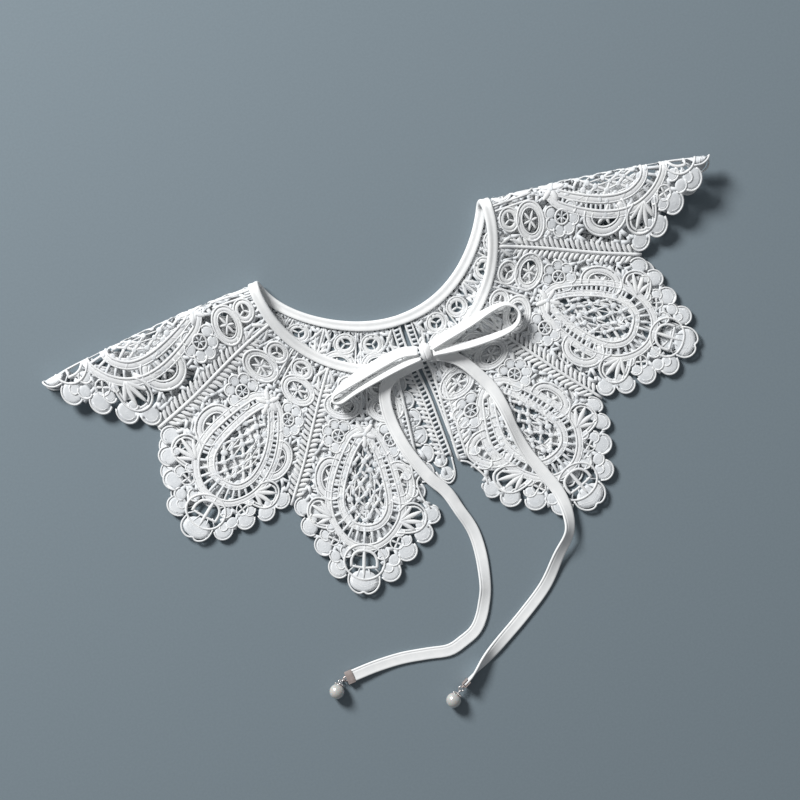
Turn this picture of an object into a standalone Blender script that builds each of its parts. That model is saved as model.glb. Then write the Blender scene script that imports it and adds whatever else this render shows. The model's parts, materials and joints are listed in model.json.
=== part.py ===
"""Lace collar with a bow, laid flat and folded at the shoulders.

Lengths in the constants and tables are millimetres, angles are degrees; objects are made in metres.
+X is the wearer-side width, -Y is the front, +Z is up and the floor is z = 0.

Each lace half is one flat pattern, a half ring of five petals about the neck's centre. A point of the
pattern is (radius, angle from the front). It is laid by lay(): the front petals lie on top, the lace
folds over at the shoulder on a straight line through the third petal, and the back petals lie beneath.
"""

import math

import bmesh
import bpy
import numpy as np
from mathutils import Vector
from mathutils.geometry import delaunay_2d_cdt

MM = 0.001

# Where the front neckline's centre lies, so that the collar's box stands on the origin
NECK_X = 1.55
NECK_Y = 99.55

# Lace pattern: its wall, the neck's radius, where the lace starts inside the binding, and the mesh rings
# beyond the binding and where the lace has come down level
LACE_THICK = 1.1
NECK_R = 72.5
LACE_INNER_R = 74.1
LACE_CLEAR_R = 80.2
LACE_LEVEL_R = 91.2
NECK_STEP = 4.2
PETAL_PITCH = 33.0
PETAL_AXES = (21.5, 54.5, 87.5, 120.5, 153.5)
FRONT_EDGE_AT = 6.2
BACK_EDGE_AT = 174.1
VALLEY_R = 172.0
TIP_R = 216.0

# Fold and lie
LIE_GAP = 0.35
LAYER_STEP = LACE_THICK + LIE_GAP
FOLD_R_NECK = 5.4
FOLD_R_TIP = 3.6
FOLD_BULGE = 2.8
FOLD_CLOSES_AT = 62.0
NECK_RISE = 1.2
NECK_RISE_OVER = (8.6, 18.6)
RIPPLE = 0.9
RIPPLE_FROM = (125.0, 195.0)
LIFT_ALONG = (100.0, 216.0)
LIFT_ACROSS = 80.0
BACK_CENTRE = (3.1, 27.3)
SLIT_AT = 0.9
SETTLE = (5.0, 60.0)

# Per side: mirror, the fold line's angle and its distance behind the neck's centre, how far the shoulder
# wing stands up and how far its tip reaches out
SIDES = {
    "left": (-1.0, 84.27, 8.2, 0.4, 2.4),
    "right": (1.0, 82.43, 13.5, 8.5, -0.7),
}

# How each front half was laid: pattern angle, turn at the neck, turn further out, turn at the tips, longer
# radius at the tips
LAID = {
    "left": (
        (6.2, 0.3, 0.3, -1.5, 0.0),
        (21.5, 0.0, -1.5, -1.5, -1.9),
        (38.0, 0.0, -2.1, -2.1, -6.0),
        (54.5, 0.0, -4.1, -4.1, -5.0),
        (71.0, 0.0, -2.7, -2.7, 1.0),
        (84.0, 0.0, 0.0, 0.0, 0.0),
    ),
    "right": (
        (6.2, 1.2, -2.2, 0.8, -3.5),
        (21.5, 0.3, 0.5, 1.1, -3.5),
        (32.0, 0.1, 0.0, 1.3, -2.0),
        (38.0, 0.0, -0.2, 0.0, 0.6),
        (54.5, 0.0, -0.1, -0.1, -5.6),
        (71.0, 0.0, -1.6, -1.6, -4.6),
        (84.0, 0.0, 0.0, 0.0, 0.0),
    ),
}
LAID_OVER = (72.5, 150.0)
TIPS_OVER = (142.0, 170.0)

# Distances from the fold line that the mesh is split on, negative behind it
FOLD_STEPS = (34.0, 20.0, 8.2, 5.6, 2.8, 0.0, -2.8, -5.6, -8.2, -20.0, -34.0)

# Twice the area in mm2 under which a flat triangle is only a rounding sliver
LEAST_FACE = 0.01

# Corners of the straight edges beside the front opening and the back slit: radius, pattern angle
FRONT_CORNERS = ((110.0, 6.2), (145.0, 6.2), (149.0, 7.6), (160.0, 7.9))
BACK_CORNERS = {
    "left": ((176.0, 170.4), (180.0, 172.0), (176.0, 173.6), (165.0, 174.1), (118.0, 174.1)),
    "right": ((160.0, 170.4), (156.0, 174.1), (118.0, 174.1)),
}

# Neck binding, a tape folded round the lace's neck edge
BIND_WIDTH = 6.4
BIND_THICK = 3.5
BIND_WEB = 1.0
SLOT = LACE_THICK + 0.9
LEFT_BIND_END = -5.0
RIGHT_BIND_END = 8.0
BIND_STEP = 4.2

# Tie and metal
TIE_WIDTH = 7.5
TIE_THICK = 1.5
KNOT_AT = (11.1, -72.2)
KNOT_SIZE = (6.5, 11.0, 5.4)
KNOT_Z = 10.0
CRIMP_WIDTH = 8.0
CRIMP_THICK = 3.2
CRIMP_BACK = -3.7
CRIMP_WEB = (0.35, 1.0)
CRIMP_SLOT = 2.1
BAR_AT = 2.8
BAR_R = 0.4
BAR_HALF = 1.25
CLEAR = 0.25
RING_R = 1.6
RING_WIRE = 0.36
EYE_R = 1.15
EYE_WIRE = 0.3
PEARL_R = 4.65
CAP_THICK = 0.45
CAP_REACH = 39.0
STEM_R = 0.5
DROP_LENGTH = 6.95
# Which way the right ring and both caps point as they lie, as angles from +X
RIGHT_RING_AT = 232.0
RIGHT_CAP_AT = 217.0
LEFT_CAP_AT = 231.0

# Scallops of a petal's edge from the tip to the valley: middle (across, out), radius
SCALLOPS = (
    (5.2, 212.3, 5.6),
    (16.1, 203.4, 5.0),
    (26.0, 191.6, 4.9),
    (35.3, 179.8, 4.8),
    (40.9, 167.4, 4.6),
)

# Gaps over 4 mm of a petal: middle (across, out), half width, half height, corners; across 0 isn't mirrored
GAPS = (
    ("net row 1", 0.0, 132.4, 2.5, 3.4, 4),
    ("net row 2", 3.9, 138.9, 2.5, 3.4, 4),
    ("net row 3", 0.0, 145.3, 2.7, 3.6, 4),
    ("net row 4", 4.6, 152.0, 2.8, 3.6, 4),
    ("net row 5", 0.0, 158.6, 2.8, 3.6, 4),
    ("ladder foot", 3.6, 178.4, 2.4, 2.4, 4),
    ("wheel eye", 4.4, 196.6, 2.3, 3.4, 5),
    ("fan upper", 27.0, 164.0, 2.2, 3.0, 4),
    ("fan lower", 31.6, 173.6, 2.6, 2.4, 4),
    ("crescent eye", 23.2, 145.7, 2.7, 2.9, 5),
    ("rosette eye", 16.9, 120.4, 2.3, 2.3, 5),
    ("scroll top", 13.6, 105.4, 3.0, 2.4, 4),
    ("scroll foot", 13.2, 97.4, 3.0, 2.4, 4),
    ("curl eye", 9.0, 87.4, 2.5, 2.5, 5),
    ("rib ladder", 31.8, 137.6, 2.2, 4.2, 4),
)

# Ties as laid, from the knot out: x, y from the neck's centre, height of the middle, roll of the width
RIGHT_LOOP = (
    (15.3, -70.2, 10.2, 40),
    (27.1, -67.4, 10.0, 50),
    (42.7, -64.3, 9.6, 56),
    (57.1, -60.9, 8.9, 62),
    (67.1, -60.4, 8.4, 74),
    (72.7, -64.6, 8.6, 84),
    (72.9, -71.0, 8.8, 96),
    (67.5, -75.6, 8.6, 106),
    (57.1, -77.2, 9.0, 118),
    (39.9, -77.2, 9.6, 124),
    (27.1, -75.8, 9.9, 130),
    (15.5, -73.8, 10.2, 140),
)
LEFT_LOOP = (
    (6.9, -70.4, 10.7, 40),
    (-3.5, -67.8, 10.5, 50),
    (-16.9, -69.0, 10.3, 56),
    (-31.6, -71.8, 9.9, 62),
    (-43.9, -74.2, 9.3, 70),
    (-51.3, -77.2, 9.1, 82),
    (-52.3, -82.6, 9.1, 98),
    (-47.9, -84.8, 9.1, 110),
    (-37.9, -81.6, 9.5, 118),
    (-26.9, -79.2, 9.9, 124),
    (-8.9, -75.9, 10.3, 130),
    (6.9, -73.8, 10.7, 140),
)
RIGHT_TAIL = (
    (11.7, -75.4, 6.1, 0),
    (19.7, -77.4, 6.1, 0),
    (29.3, -84.0, 6.1, 0),
    (36.8, -94.8, 5.0, 0),
    (43.0, -107.4, 0, 0),
    (45.9, -121.4, 0, 22),
    (47.1, -134.4, 0, 34),
    (50.1, -150.5, 0, 12),
    (55.8, -166.1, 0, 0),
    (61.0, -180.4, 0, 0),
    (62.2, -193.9, 0, 20),
    (59.2, -206.3, 0, 38),
    (48.4, -218.0, 0, 24),
    (34.7, -233.0, 0, 6),
    (15.8, -246.2, 0, 0),
    (-3.1, -257.4, 0, 12),
    (-14.9, -264.2, 0, 44),
    (-22.5, -269.0, 0, 76),
    (-27.3, -271.9, 4.05, 90),
    (-32.3, -274.6, 4.05, 90),
)
LEFT_TAIL = (
    (7.5, -77.4, 6.1, 0),
    (-2.9, -78.2, 6.1, 0),
    (-12.5, -80.2, 6.1, 0),
    (-19.5, -86.0, 6.1, 0),
    (-22.5, -96.0, 5.0, 0),
    (-22.3, -110.6, 0, 0),
    (-18.9, -127.5, 0, 10),
    (-11.6, -146.3, 0, 0),
    (-4.5, -158.2, 0, 0),
    (-0.5, -171.6, 0, 14),
    (3.4, -186.3, 0, 0),
    (3.2, -202.5, 0, 0),
    (-0.4, -220.8, 0, 20),
    (-4.7, -231.0, 0, 8),
    (-9.5, -239.2, 0, 0),
    (-15.6, -245.5, 0, 0),
    (-24.8, -249.4, 0, 0),
    (-34.5, -251.8, 0, 0),
    (-47.8, -249.5, 0, 0),
    (-63.6, -247.1, 0, 0),
    (-78.9, -246.5, 1.2, 0),
    (-89.9, -246.9, 2.3, 0),
    (-99.3, -247.6, 2.3, 0),
)


def clear_scene():
    """Remove every object of the scene."""
    for thing in list(bpy.data.objects):
        bpy.data.objects.remove(thing, do_unlink=True)


def material(name, color, rough, metal=0.0):
    """Make a Principled material."""
    mat = bpy.data.materials.new(name)
    mat.use_nodes = True
    shader = mat.node_tree.nodes["Principled BSDF"]
    shader.inputs["Base Color"].default_value = (*color, 1.0)
    shader.inputs["Roughness"].default_value = rough
    shader.inputs["Metallic"].default_value = metal
    return mat


def add_object(name, points, faces, mat):
    """Make a mesh object from points in millimetres about the neck's centre."""
    shift = np.array([NECK_X, NECK_Y, 0.0])
    mesh = bpy.data.meshes.new(name)
    mesh.from_pydata([tuple((np.asarray(p) + shift) * MM) for p in points], [], faces)
    mesh.materials.append(mat)
    obj = bpy.data.objects.new(name, mesh)
    bpy.context.scene.collection.objects.link(obj)
    return obj


def smooth(value, start, end):
    """Go from 0 to 1 between start and end, level at both."""
    t = np.clip((value - start) / (end - start), 0.0, 1.0)
    return t * t * (3.0 - 2.0 * t)


def fold_radius(radius):
    """The fold's radius, by the pattern's radius."""
    share = np.clip((np.asarray(radius, float) - NECK_R) / (TIP_R - NECK_R), 0.0, 1.0)
    return FOLD_R_NECK + (FOLD_R_TIP - FOLD_R_NECK) * share


def fold_distance(radius, side):
    """How far behind the neck's centre the fold line runs in the flat pattern."""
    return SIDES[side][2] + (math.pi / 2.0 - 1.0) * fold_radius(radius)


def fold_angle(radius, side):
    """Pattern angle at which a radius meets the fold line."""
    return SIDES[side][1] + np.degrees(np.arcsin(fold_distance(radius, side) / radius))


def behind_scale(radius, side):
    """How much the back's angles close up, so that the halves meet at the slit."""
    start = fold_angle(radius, side)
    return (2.0 * SIDES[side][1] - start - SLIT_AT) / (BACK_EDGE_AT - start)


def angle_at(radius, across, side):
    """Pattern angle of a radius at a distance from the fold line, negative behind it."""
    line, depth = SIDES[side][1], fold_distance(radius, side)
    if across >= 0.0:
        return line + np.degrees(np.arcsin((depth - across) / radius))
    start = fold_angle(radius, side)
    turned_to = line - np.degrees(np.arcsin((depth - across) / radius))
    return start + (2.0 * line - start - turned_to) / behind_scale(radius, side)


def lay_middle(radius, angle, side):
    """Lay points of the flat pattern: their place on the lace's middle surface."""
    mirror, line, distance, lift, reach = SIDES[side]
    radius, angle = np.broadcast_arrays(np.asarray(radius, float), np.asarray(angle, float))
    fold_r, depth = fold_radius(radius), fold_distance(radius, side)
    start = fold_angle(radius, side)
    front = angle <= start
    table = np.array(LAID[side])
    near, far, tip, longer = (np.interp(angle, table[:, 0], table[:, i]) for i in (1, 2, 3, 4))
    turn = angle + near + (far - near) * smooth(radius, *LAID_OVER)
    turn = turn + (tip - far) * smooth(radius, *TIPS_OVER) - line
    long_radius = radius + longer * (radius - NECK_R) / (TIP_R - NECK_R)
    back_turn = line - start - behind_scale(radius, side) * (angle - start)
    along = np.where(front, long_radius * np.cos(np.radians(turn)), radius * np.cos(np.radians(back_turn)))
    front_across = depth - long_radius * np.sin(np.radians(turn))
    across = np.maximum(np.where(front, front_across, -depth - radius * np.sin(np.radians(back_turn))), 0.0)
    quarter = fold_r * math.pi / 2.0
    arc = np.clip(across / fold_r, 0.0, math.pi / 2.0)
    closing = smooth(across, quarter, FOLD_CLOSES_AT)
    width = np.where(across < quarter, fold_r * (1.0 - np.cos(arc)), across - quarter + fold_r)
    low = LACE_THICK / 2.0 + NECK_RISE * (1.0 - smooth(radius - NECK_R, *NECK_RISE_OVER))
    c, s = math.cos(math.radians(line)), math.sin(math.radians(line))
    mirrored = 2.0 * fold_distance(NECK_R, side)
    aside, behind = BACK_CENTRE[0] * mirror - mirrored * c, BACK_CENTRE[1] - mirrored * s
    settle = np.where(front, 0.0, smooth(across, *SETTLE))
    width = width - settle * (aside * c + behind * s)
    along = along + settle * (aside * s - behind * c)
    wing = smooth(along, *LIFT_ALONG) * (1.0 - smooth(width, 0.0, LIFT_ACROSS))
    low = low + lift * wing
    apart = LAYER_STEP + (2.0 * fold_r - LAYER_STEP) * (1.0 - closing)
    petal = np.cos(np.radians((angle - PETAL_AXES[0]) * 360.0 / PETAL_PITCH))
    wave = RIPPLE * 0.5 * (1.0 + petal) * smooth(radius, *RIPPLE_FROM) * closing
    edge = low + fold_r + np.where(front, 1.0, -1.0) * fold_r * np.sin(arc)
    height = np.where(across < quarter, edge, low + np.where(front, apart + wave, 0.0))
    bow = np.sin(math.pi * np.clip((along - NECK_R) / (TIP_R - NECK_R), 0.0, 1.0))
    outward = distance - width + FOLD_BULGE * bow * (1.0 - smooth(width, 0.0, FOLD_CLOSES_AT))
    along = along + reach * wing
    return np.stack([(along * s + outward * c) * mirror, outward * s - along * c, height], axis=-1)


def lay(radius, angle, offset, side):
    """Lay points of the pattern, moved out from the middle surface by offset."""
    radius = np.asarray(radius, float)
    angle = np.asarray(angle, float)
    step_r, step_a = 0.4, 0.25
    out = lay_middle(radius + step_r, angle, side) - lay_middle(radius - step_r, angle, side)
    turn = lay_middle(radius, angle + step_a, side) - lay_middle(radius, angle - step_a, side)
    normal = np.cross(out, turn)
    normal *= SIDES[side][0] / np.linalg.norm(normal, axis=-1, keepdims=True)
    return lay_middle(radius, angle, side) + normal * np.asarray(offset)[..., None]


def to_flat(across, out, axis):
    """Flat pattern x and y of a petal's own point."""
    t = math.radians(axis)
    return (out * math.sin(t) + across * math.cos(t), out * math.cos(t) - across * math.sin(t))


def polar(radius, angle):
    """Flat pattern x and y of a radius and an angle from the front."""
    t = math.radians(angle)
    return (radius * math.sin(t), radius * math.cos(t))


def petal_edge(axis):
    """Scalloped edge of a petal, by growing angle."""
    half = []
    for index, (across, out, size) in enumerate(SCALLOPS):
        lean = math.atan2(across * 2.2, out - 140.0) if index < 4 else math.radians(80.0)
        for spread in (-52.0, 0.0, 52.0):
            t = lean + math.radians(spread)
            half.append((across + size * math.sin(t), out + size * math.cos(t)))
        if index + 1 < len(SCALLOPS):
            ahead = SCALLOPS[index + 1]
            half.append(((across + ahead[0]) / 2.0, (out + ahead[1]) / 2.0))
    left = [(-across, out) for across, out in reversed(half)]
    return [to_flat(across, out, axis) for across, out in left + [(0.0, SCALLOPS[0][1])] + half]


def outline(side):
    """Whole outline of a lace half in the flat pattern."""
    rings = (LACE_INNER_R, LACE_CLEAR_R, LACE_LEVEL_R)
    points = [polar(radius, FRONT_EDGE_AT) for radius in rings]
    points += [polar(*corner) for corner in FRONT_CORNERS]
    for axis in PETAL_AXES:
        edge = petal_edge(axis)
        if axis == PETAL_AXES[0]:
            edge = [p for p in edge if math.degrees(math.atan2(*p)) > FRONT_EDGE_AT]
        points += edge
        if axis != PETAL_AXES[-1]:
            points.append(polar(VALLEY_R, axis + PETAL_PITCH / 2.0))
    points += [polar(*corner) for corner in BACK_CORNERS[side]]
    points += [polar(radius, BACK_EDGE_AT) for radius in rings[:0:-1]]
    return points + [polar(LACE_INNER_R, angle) for angle in neck_stations()[:0:-1]]


def neck_stations():
    """Angles of the lace's points along the neck."""
    return np.linspace(FRONT_EDGE_AT, BACK_EDGE_AT, round((BACK_EDGE_AT - FRONT_EDGE_AT) / NECK_STEP) + 1)


def gap_loops():
    """Outlines of the cut gaps in the flat pattern."""
    loops = []
    for axis in PETAL_AXES:
        for _, across, out, half_w, half_h, corners in GAPS:
            for mirror in (1.0, -1.0) if across else (1.0,):
                ring = []
                for i in range(corners):
                    t = 2.0 * math.pi * i / corners
                    x = mirror * across + half_w * math.sin(t)
                    ring.append(to_flat(x, out + half_h * math.cos(t), axis))
                loops.append(ring)
    return loops


def fold_lines(side):
    """Lines the mesh is split on: rings beyond the binding, and lines along the fold by steps of its arc."""
    lines = []
    for radius, every in ((LACE_CLEAR_R, 1), (LACE_LEVEL_R, 2)):
        lines.append([polar(radius, angle) for angle in neck_stations()[::every]])
    for across in FOLD_STEPS:
        lines.append([polar(r, angle_at(r, across, side)) for r in (70.0, 90.0, 120.0, 160.0, 225.0)])
    return lines


def inside(points, loop):
    """Whether each point lies inside a loop."""
    loop = np.asarray(loop)
    ahead = np.roll(loop, -1, axis=0)
    x, y = points[:, 0:1], points[:, 1:2]
    crosses = (loop[:, 1] > y) != (ahead[:, 1] > y)
    rise = np.where(ahead[:, 1] == loop[:, 1], 1e-9, ahead[:, 1] - loop[:, 1])
    at = loop[:, 0] + (y - loop[:, 1]) * (ahead[:, 0] - loop[:, 0]) / rise
    return (crosses & (x < at)).sum(axis=1) % 2 == 1


def twice_area(flat, faces):
    """Twice the signed area of each flat triangle."""
    a, b, c = (flat[faces[:, i]] for i in range(3))
    return (b[:, 0] - a[:, 0]) * (c[:, 1] - a[:, 1]) - (b[:, 1] - a[:, 1]) * (c[:, 0] - a[:, 0])


def cut_pattern(side):
    """Triangles of a lace half in the flat pattern: points and faces."""
    edge = outline(side)
    gaps = gap_loops()
    points, edges = [], []
    for loop in [edge] + gaps:
        first = len(points)
        points += loop
        edges += [(first + i, first + (i + 1) % len(loop)) for i in range(len(loop))]
    for line in fold_lines(side):
        edges += [(len(points) + i, len(points) + i + 1) for i in range(len(line) - 1)]
        points += line
    cut = delaunay_2d_cdt([Vector(p) for p in points], edges, [], 0, 1e-4)
    found = np.array([tuple(p) for p in cut[0]])
    faces = np.array([face for face in cut[2] if len(face) == 3])
    middle = found[faces].mean(axis=1)
    keep = inside(middle, edge) & (np.abs(twice_area(found, faces)) > LEAST_FACE)
    for gap in gaps:
        keep &= ~inside(middle, gap)
    faces = faces[keep]
    used, index = np.unique(faces, return_inverse=True)
    return found[used], index.reshape(-1, 3)


def lace_half(name, side, pattern, mat):
    """A lace half: the cut pattern laid, with its wall thickness."""
    flat, faces = pattern
    faces = np.where((twice_area(flat, faces) > 0.0)[:, None], faces, faces[:, ::-1])
    radius = np.hypot(flat[:, 0], flat[:, 1])
    angle = np.degrees(np.arctan2(flat[:, 0], flat[:, 1]))
    top = lay(radius, angle, np.full(len(flat), LACE_THICK / 2.0), side)
    low = lay(radius, angle, np.full(len(flat), -LACE_THICK / 2.0), side)
    count = len(flat)
    all_faces = [tuple(f) for f in faces] + [tuple(f[::-1] + count) for f in faces]
    ways = {}
    for f in faces:
        for i in range(3):
            ways[(int(f[i]), int(f[(i + 1) % 3]))] = True
    for start, end in ways:
        if (end, start) not in ways:
            all_faces.append((end, start, start + count, end + count))
    obj = add_object(name, np.concatenate([top, low]), all_faces, mat)
    close_faces(obj)
    return obj


def close_faces(obj):
    """Turn every face outward."""
    mesh = bmesh.new()
    mesh.from_mesh(obj.data)
    bmesh.ops.recalc_face_normals(mesh, faces=mesh.faces)
    mesh.to_mesh(obj.data)
    mesh.free()


def sweep(name, rings, mat):
    """Join rings of equal count into a tube with closed ends."""
    count = len(rings[0])
    points = np.concatenate(rings)
    faces = []
    for row in range(len(rings) - 1):
        for i in range(count):
            a = row * count + i
            b = row * count + (i + 1) % count
            faces.append((a, b, b + count, a + count))
    last = (len(rings) - 1) * count
    faces.append(tuple(range(count - 1, -1, -1)))
    faces.append(tuple(range(last, last + count)))
    obj = add_object(name, points, faces, mat)
    close_faces(obj)
    return obj


def binding_section(angle, side):
    """The folded tape's section round the lace's neck edge, open away from the neck."""
    half, slot = BIND_THICK / 2.0, SLOT / 2.0
    outer = NECK_R + BIND_WIDTH
    web = NECK_R + BIND_WEB
    section = (
        (NECK_R, -half),
        (outer, -half),
        (outer, -slot),
        (web, -slot),
        (web, slot),
        (outer, slot),
        (outer, half),
        (NECK_R, half),
    )
    radius = np.array([s[0] for s in section])
    offset = np.array([s[1] for s in section])
    return lay(radius, np.full(len(section), angle), offset, side)


def binding_angles(end, side):
    """Stations along the binding from an end to the centre back."""
    arc = [float(angle_at(NECK_R, across, side)) for across in FOLD_STEPS[2:-2]]
    centre = BACK_EDGE_AT + SLIT_AT / float(behind_scale(NECK_R, side))
    front = np.linspace(end, arc[0] - BIND_STEP, round((arc[0] - end) / BIND_STEP))
    behind = np.linspace(arc[-1] + BIND_STEP, centre, round((centre - arc[-1]) / BIND_STEP))
    return [*front, *arc, *behind]


def neck_binding(mat):
    """The whole binding: left front, left shoulder, back, right shoulder, right front."""
    left = [binding_section(angle, "left") for angle in binding_angles(LEFT_BIND_END, "left")]
    right = [binding_section(angle, "right") for angle in binding_angles(RIGHT_BIND_END, "right")]
    left[-1] = (left[-1] + right[-1]) / 2.0
    sweep("neck_binding", left + right[-2::-1], mat)


def smooth_path(rows, steps):
    """A smooth curve through the rows, each a row of numbers, at even steps."""
    rows = np.asarray(rows, float)
    padded = np.vstack([2 * rows[0] - rows[1], rows, 2 * rows[-1] - rows[-2]])
    fine = []
    for i in range(len(rows) - 1):
        a, b, c, d = padded[i : i + 4]
        for t in np.linspace(0.0, 1.0, 12, endpoint=False):
            curve = 2 * b + (c - a) * t + (2 * a - 5 * b + 4 * c - d) * t**2
            fine.append(0.5 * (curve + (3 * b - a - 3 * c + d) * t**3))
    fine.append(rows[-1])
    fine = np.array(fine)
    run = np.concatenate([[0.0], np.cumsum(np.linalg.norm(np.diff(fine[:, :3], axis=0), axis=1))])
    at = np.linspace(0.0, run[-1], steps)
    return np.stack([np.interp(at, run, fine[:, i]) for i in range(fine.shape[1])], axis=1)


def running_mean(values):
    """Mean of each value and its two neighbours on each side."""
    return np.convolve(np.pad(values, 2, mode="edge"), np.ones(5) / 5.0, mode="valid")


def bed_height(x, y):
    """Top of what lies under a point: front lace, back lace or the floor."""
    radius = math.hypot(x, y)
    angle = abs(math.degrees(math.atan2(x, -y)))
    off = (angle - PETAL_AXES[0] + PETAL_PITCH / 2.0) % PETAL_PITCH - PETAL_PITCH / 2.0
    reach = VALLEY_R + (TIP_R - VALLEY_R) * math.cos(math.radians(off * 180.0 / PETAL_PITCH))
    if angle > FRONT_EDGE_AT - 2.0 and NECK_R - 6.0 < radius < min(reach, TIP_R) + 6.0:
        top = LACE_THICK + LAYER_STEP
        return top + (BIND_THICK - LACE_THICK if radius < 84.0 else RIPPLE if radius > 115.0 else 0.0)
    if math.hypot(x - BACK_CENTRE[0], y - BACK_CENTRE[1]) < reach + 5.0:
        return LACE_THICK
    return 0.0


def ribbon(name, rows, steps, mat):
    """A flat tie along a path of x, y, height and roll; height 0 means lying on what is below."""
    path = smooth_path(rows, steps)
    set_height = np.array([row[2] for row in rows])
    held = smooth_path([(row[0], row[1], 0.0, 1.0 if row[2] > 0.0 else 0.0) for row in rows], steps)[:, 3]
    roll = np.radians(path[:, 3])
    half = TIE_WIDTH / 2.0 * np.abs(np.sin(roll)) + TIE_THICK / 2.0 * np.abs(np.cos(roll))
    bed = np.array([bed_height(x, y) for x, y in path[:, :2]])
    wide = np.array([bed[max(i - 2, 0) : i + 3].max() for i in range(steps)])
    top = np.maximum(running_mean(wide), bed)
    lying = top + half + np.where(top > 0.05, LIE_GAP, 0.0)
    if set_height.min() > 0.0:
        height = path[:, 2]
    else:
        height = np.where(held > 0.5, np.maximum(path[:, 2], lying), lying)
        height = np.maximum(running_mean(height), lying)
    middle = np.stack([path[:, 0], path[:, 1], height], axis=1)
    ahead = np.gradient(middle, axis=0)
    ahead /= np.linalg.norm(ahead, axis=1, keepdims=True)
    level = np.cross(ahead, [0.0, 0.0, 1.0])
    level /= np.linalg.norm(level, axis=1, keepdims=True)
    up = np.cross(level, ahead)
    wide_way = level * np.cos(roll)[:, None] + up * np.sin(roll)[:, None]
    thick_way = np.cross(wide_way, ahead)
    flat_w, flat_t = TIE_WIDTH / 2.0, TIE_THICK / 2.0
    corner = flat_w - flat_t * 0.6
    upper = ((flat_w, 0.0), (corner, flat_t), (-corner, flat_t))
    section = upper + tuple((-w, -t) for w, t in upper)
    rings = [
        np.array([middle[i] + wide_way[i] * w + thick_way[i] * t for w, t in section]) for i in range(steps)
    ]
    sweep(name, rings, mat)
    level_ahead = np.array([ahead[-1][0], ahead[-1][1], 0.0])
    return middle[-1], level_ahead / np.linalg.norm(level_ahead)


def knot(mat):
    """The bow's knot: a rounded wrap over the strands."""
    width, depth, height = KNOT_SIZE
    rings = []
    for share in (-1.0, -0.75, -0.3, 0.3, 0.75, 1.0):
        swell = math.sqrt(1.0 - 0.55 * share * share)
        ring = []
        for i in range(12):
            t = 2.0 * math.pi * i / 12.0
            ring.append(
                (
                    KNOT_AT[0] + share * width / 2.0,
                    KNOT_AT[1] + math.cos(t) * depth / 2.0 * swell,
                    KNOT_Z + math.sin(t) * height / 2.0 * swell,
                )
            )
        rings.append(np.array(ring))
    sweep("bow_knot", rings, mat)


def placed(local, at, way, up):
    """Points given as (ahead, across, up) from a place, as points of the collar."""
    side = np.cross(up, way)
    local = np.asarray(local, float)
    return np.asarray(at) + local[:, :1] * way + local[:, 1:2] * side + local[:, 2:3] * np.asarray(up)


def level_way(angle):
    """A level direction by its angle from +X."""
    return np.array([math.cos(math.radians(angle)), math.sin(math.radians(angle)), 0.0])


def union(obj, helper):
    """Join a helper solid into an object."""
    helper.hide_render = True
    helper.display_type = "WIRE"
    join = obj.modifiers.new("join_" + helper.name, "BOOLEAN")
    join.operation = "UNION"
    join.solver = "EXACT"
    join.object = helper


def rod(name, path, radius, side, mat):
    """A round rod through the points of a path that lies square to side."""
    path = np.asarray(path, float)
    ahead = np.diff(path, axis=0)
    ahead /= np.linalg.norm(ahead, axis=1, keepdims=True)
    rings = []
    for i, point in enumerate(path):
        before, after = ahead[max(i - 1, 0)], ahead[min(i, len(ahead) - 1)]
        turn = before + after
        out = np.cross(side, turn) * 2.0 / (turn @ turn)
        ring = []
        for k in range(8):
            t = 2.0 * math.pi * k / 8.0
            ring.append(point + radius * (math.cos(t) * out + math.sin(t) * np.asarray(side)))
        rings.append(np.array(ring))
    return sweep(name, rings, mat)


def ring(name, centre, axis, radius, wire, mat):
    """A closed wire ring about an axis."""
    axis = np.asarray(axis, float) / np.linalg.norm(axis)
    start = np.cross(axis, [0.0, 0.0, 1.0] if abs(axis[2]) < 0.9 else [1.0, 0.0, 0.0])
    start /= np.linalg.norm(start)
    other = np.cross(axis, start)
    around, about = 20, 8
    points, faces = [], []
    for i in range(around):
        t = 2.0 * math.pi * i / around
        out = math.cos(t) * start + math.sin(t) * other
        for k in range(about):
            u = 2.0 * math.pi * k / about
            reach = out * (radius + wire * math.cos(u))
            points.append(np.asarray(centre) + reach + axis * wire * math.sin(u))
            across, ahead = (k + 1) % about, (i + 1) % around * about
            faces.append((i * about + k, ahead + k, ahead + across, i * about + across))
    obj = add_object(name, points, faces, mat)
    close_faces(obj)
    return obj


def turned(name, profile, at, way, around, mat):
    """A closed profile of (ahead, out) turned about a line; points on the line close it."""
    way = np.asarray(way, float)
    start = np.cross(way, [0.0, 0.0, 1.0])
    start /= np.linalg.norm(start)
    other = np.cross(way, start)
    points, index = [], []
    for ahead, out in profile:
        row = []
        for i in range(around if out > 0.0 else 1):
            t = 2.0 * math.pi * i / around
            row.append(len(points))
            points.append(np.asarray(at) + way * ahead + out * (math.cos(t) * start + math.sin(t) * other))
        index.append(row * (around if len(row) == 1 else 1))
    faces = []
    for here, ahead in zip(index, index[1:]):
        for i in range(around):
            j = (i + 1) % around
            loop = [here[i], here[j], ahead[j], ahead[i]]
            faces.append(tuple(dict.fromkeys(loop)))
    obj = add_object(name, points, faces, mat)
    close_faces(obj)
    return obj


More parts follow.
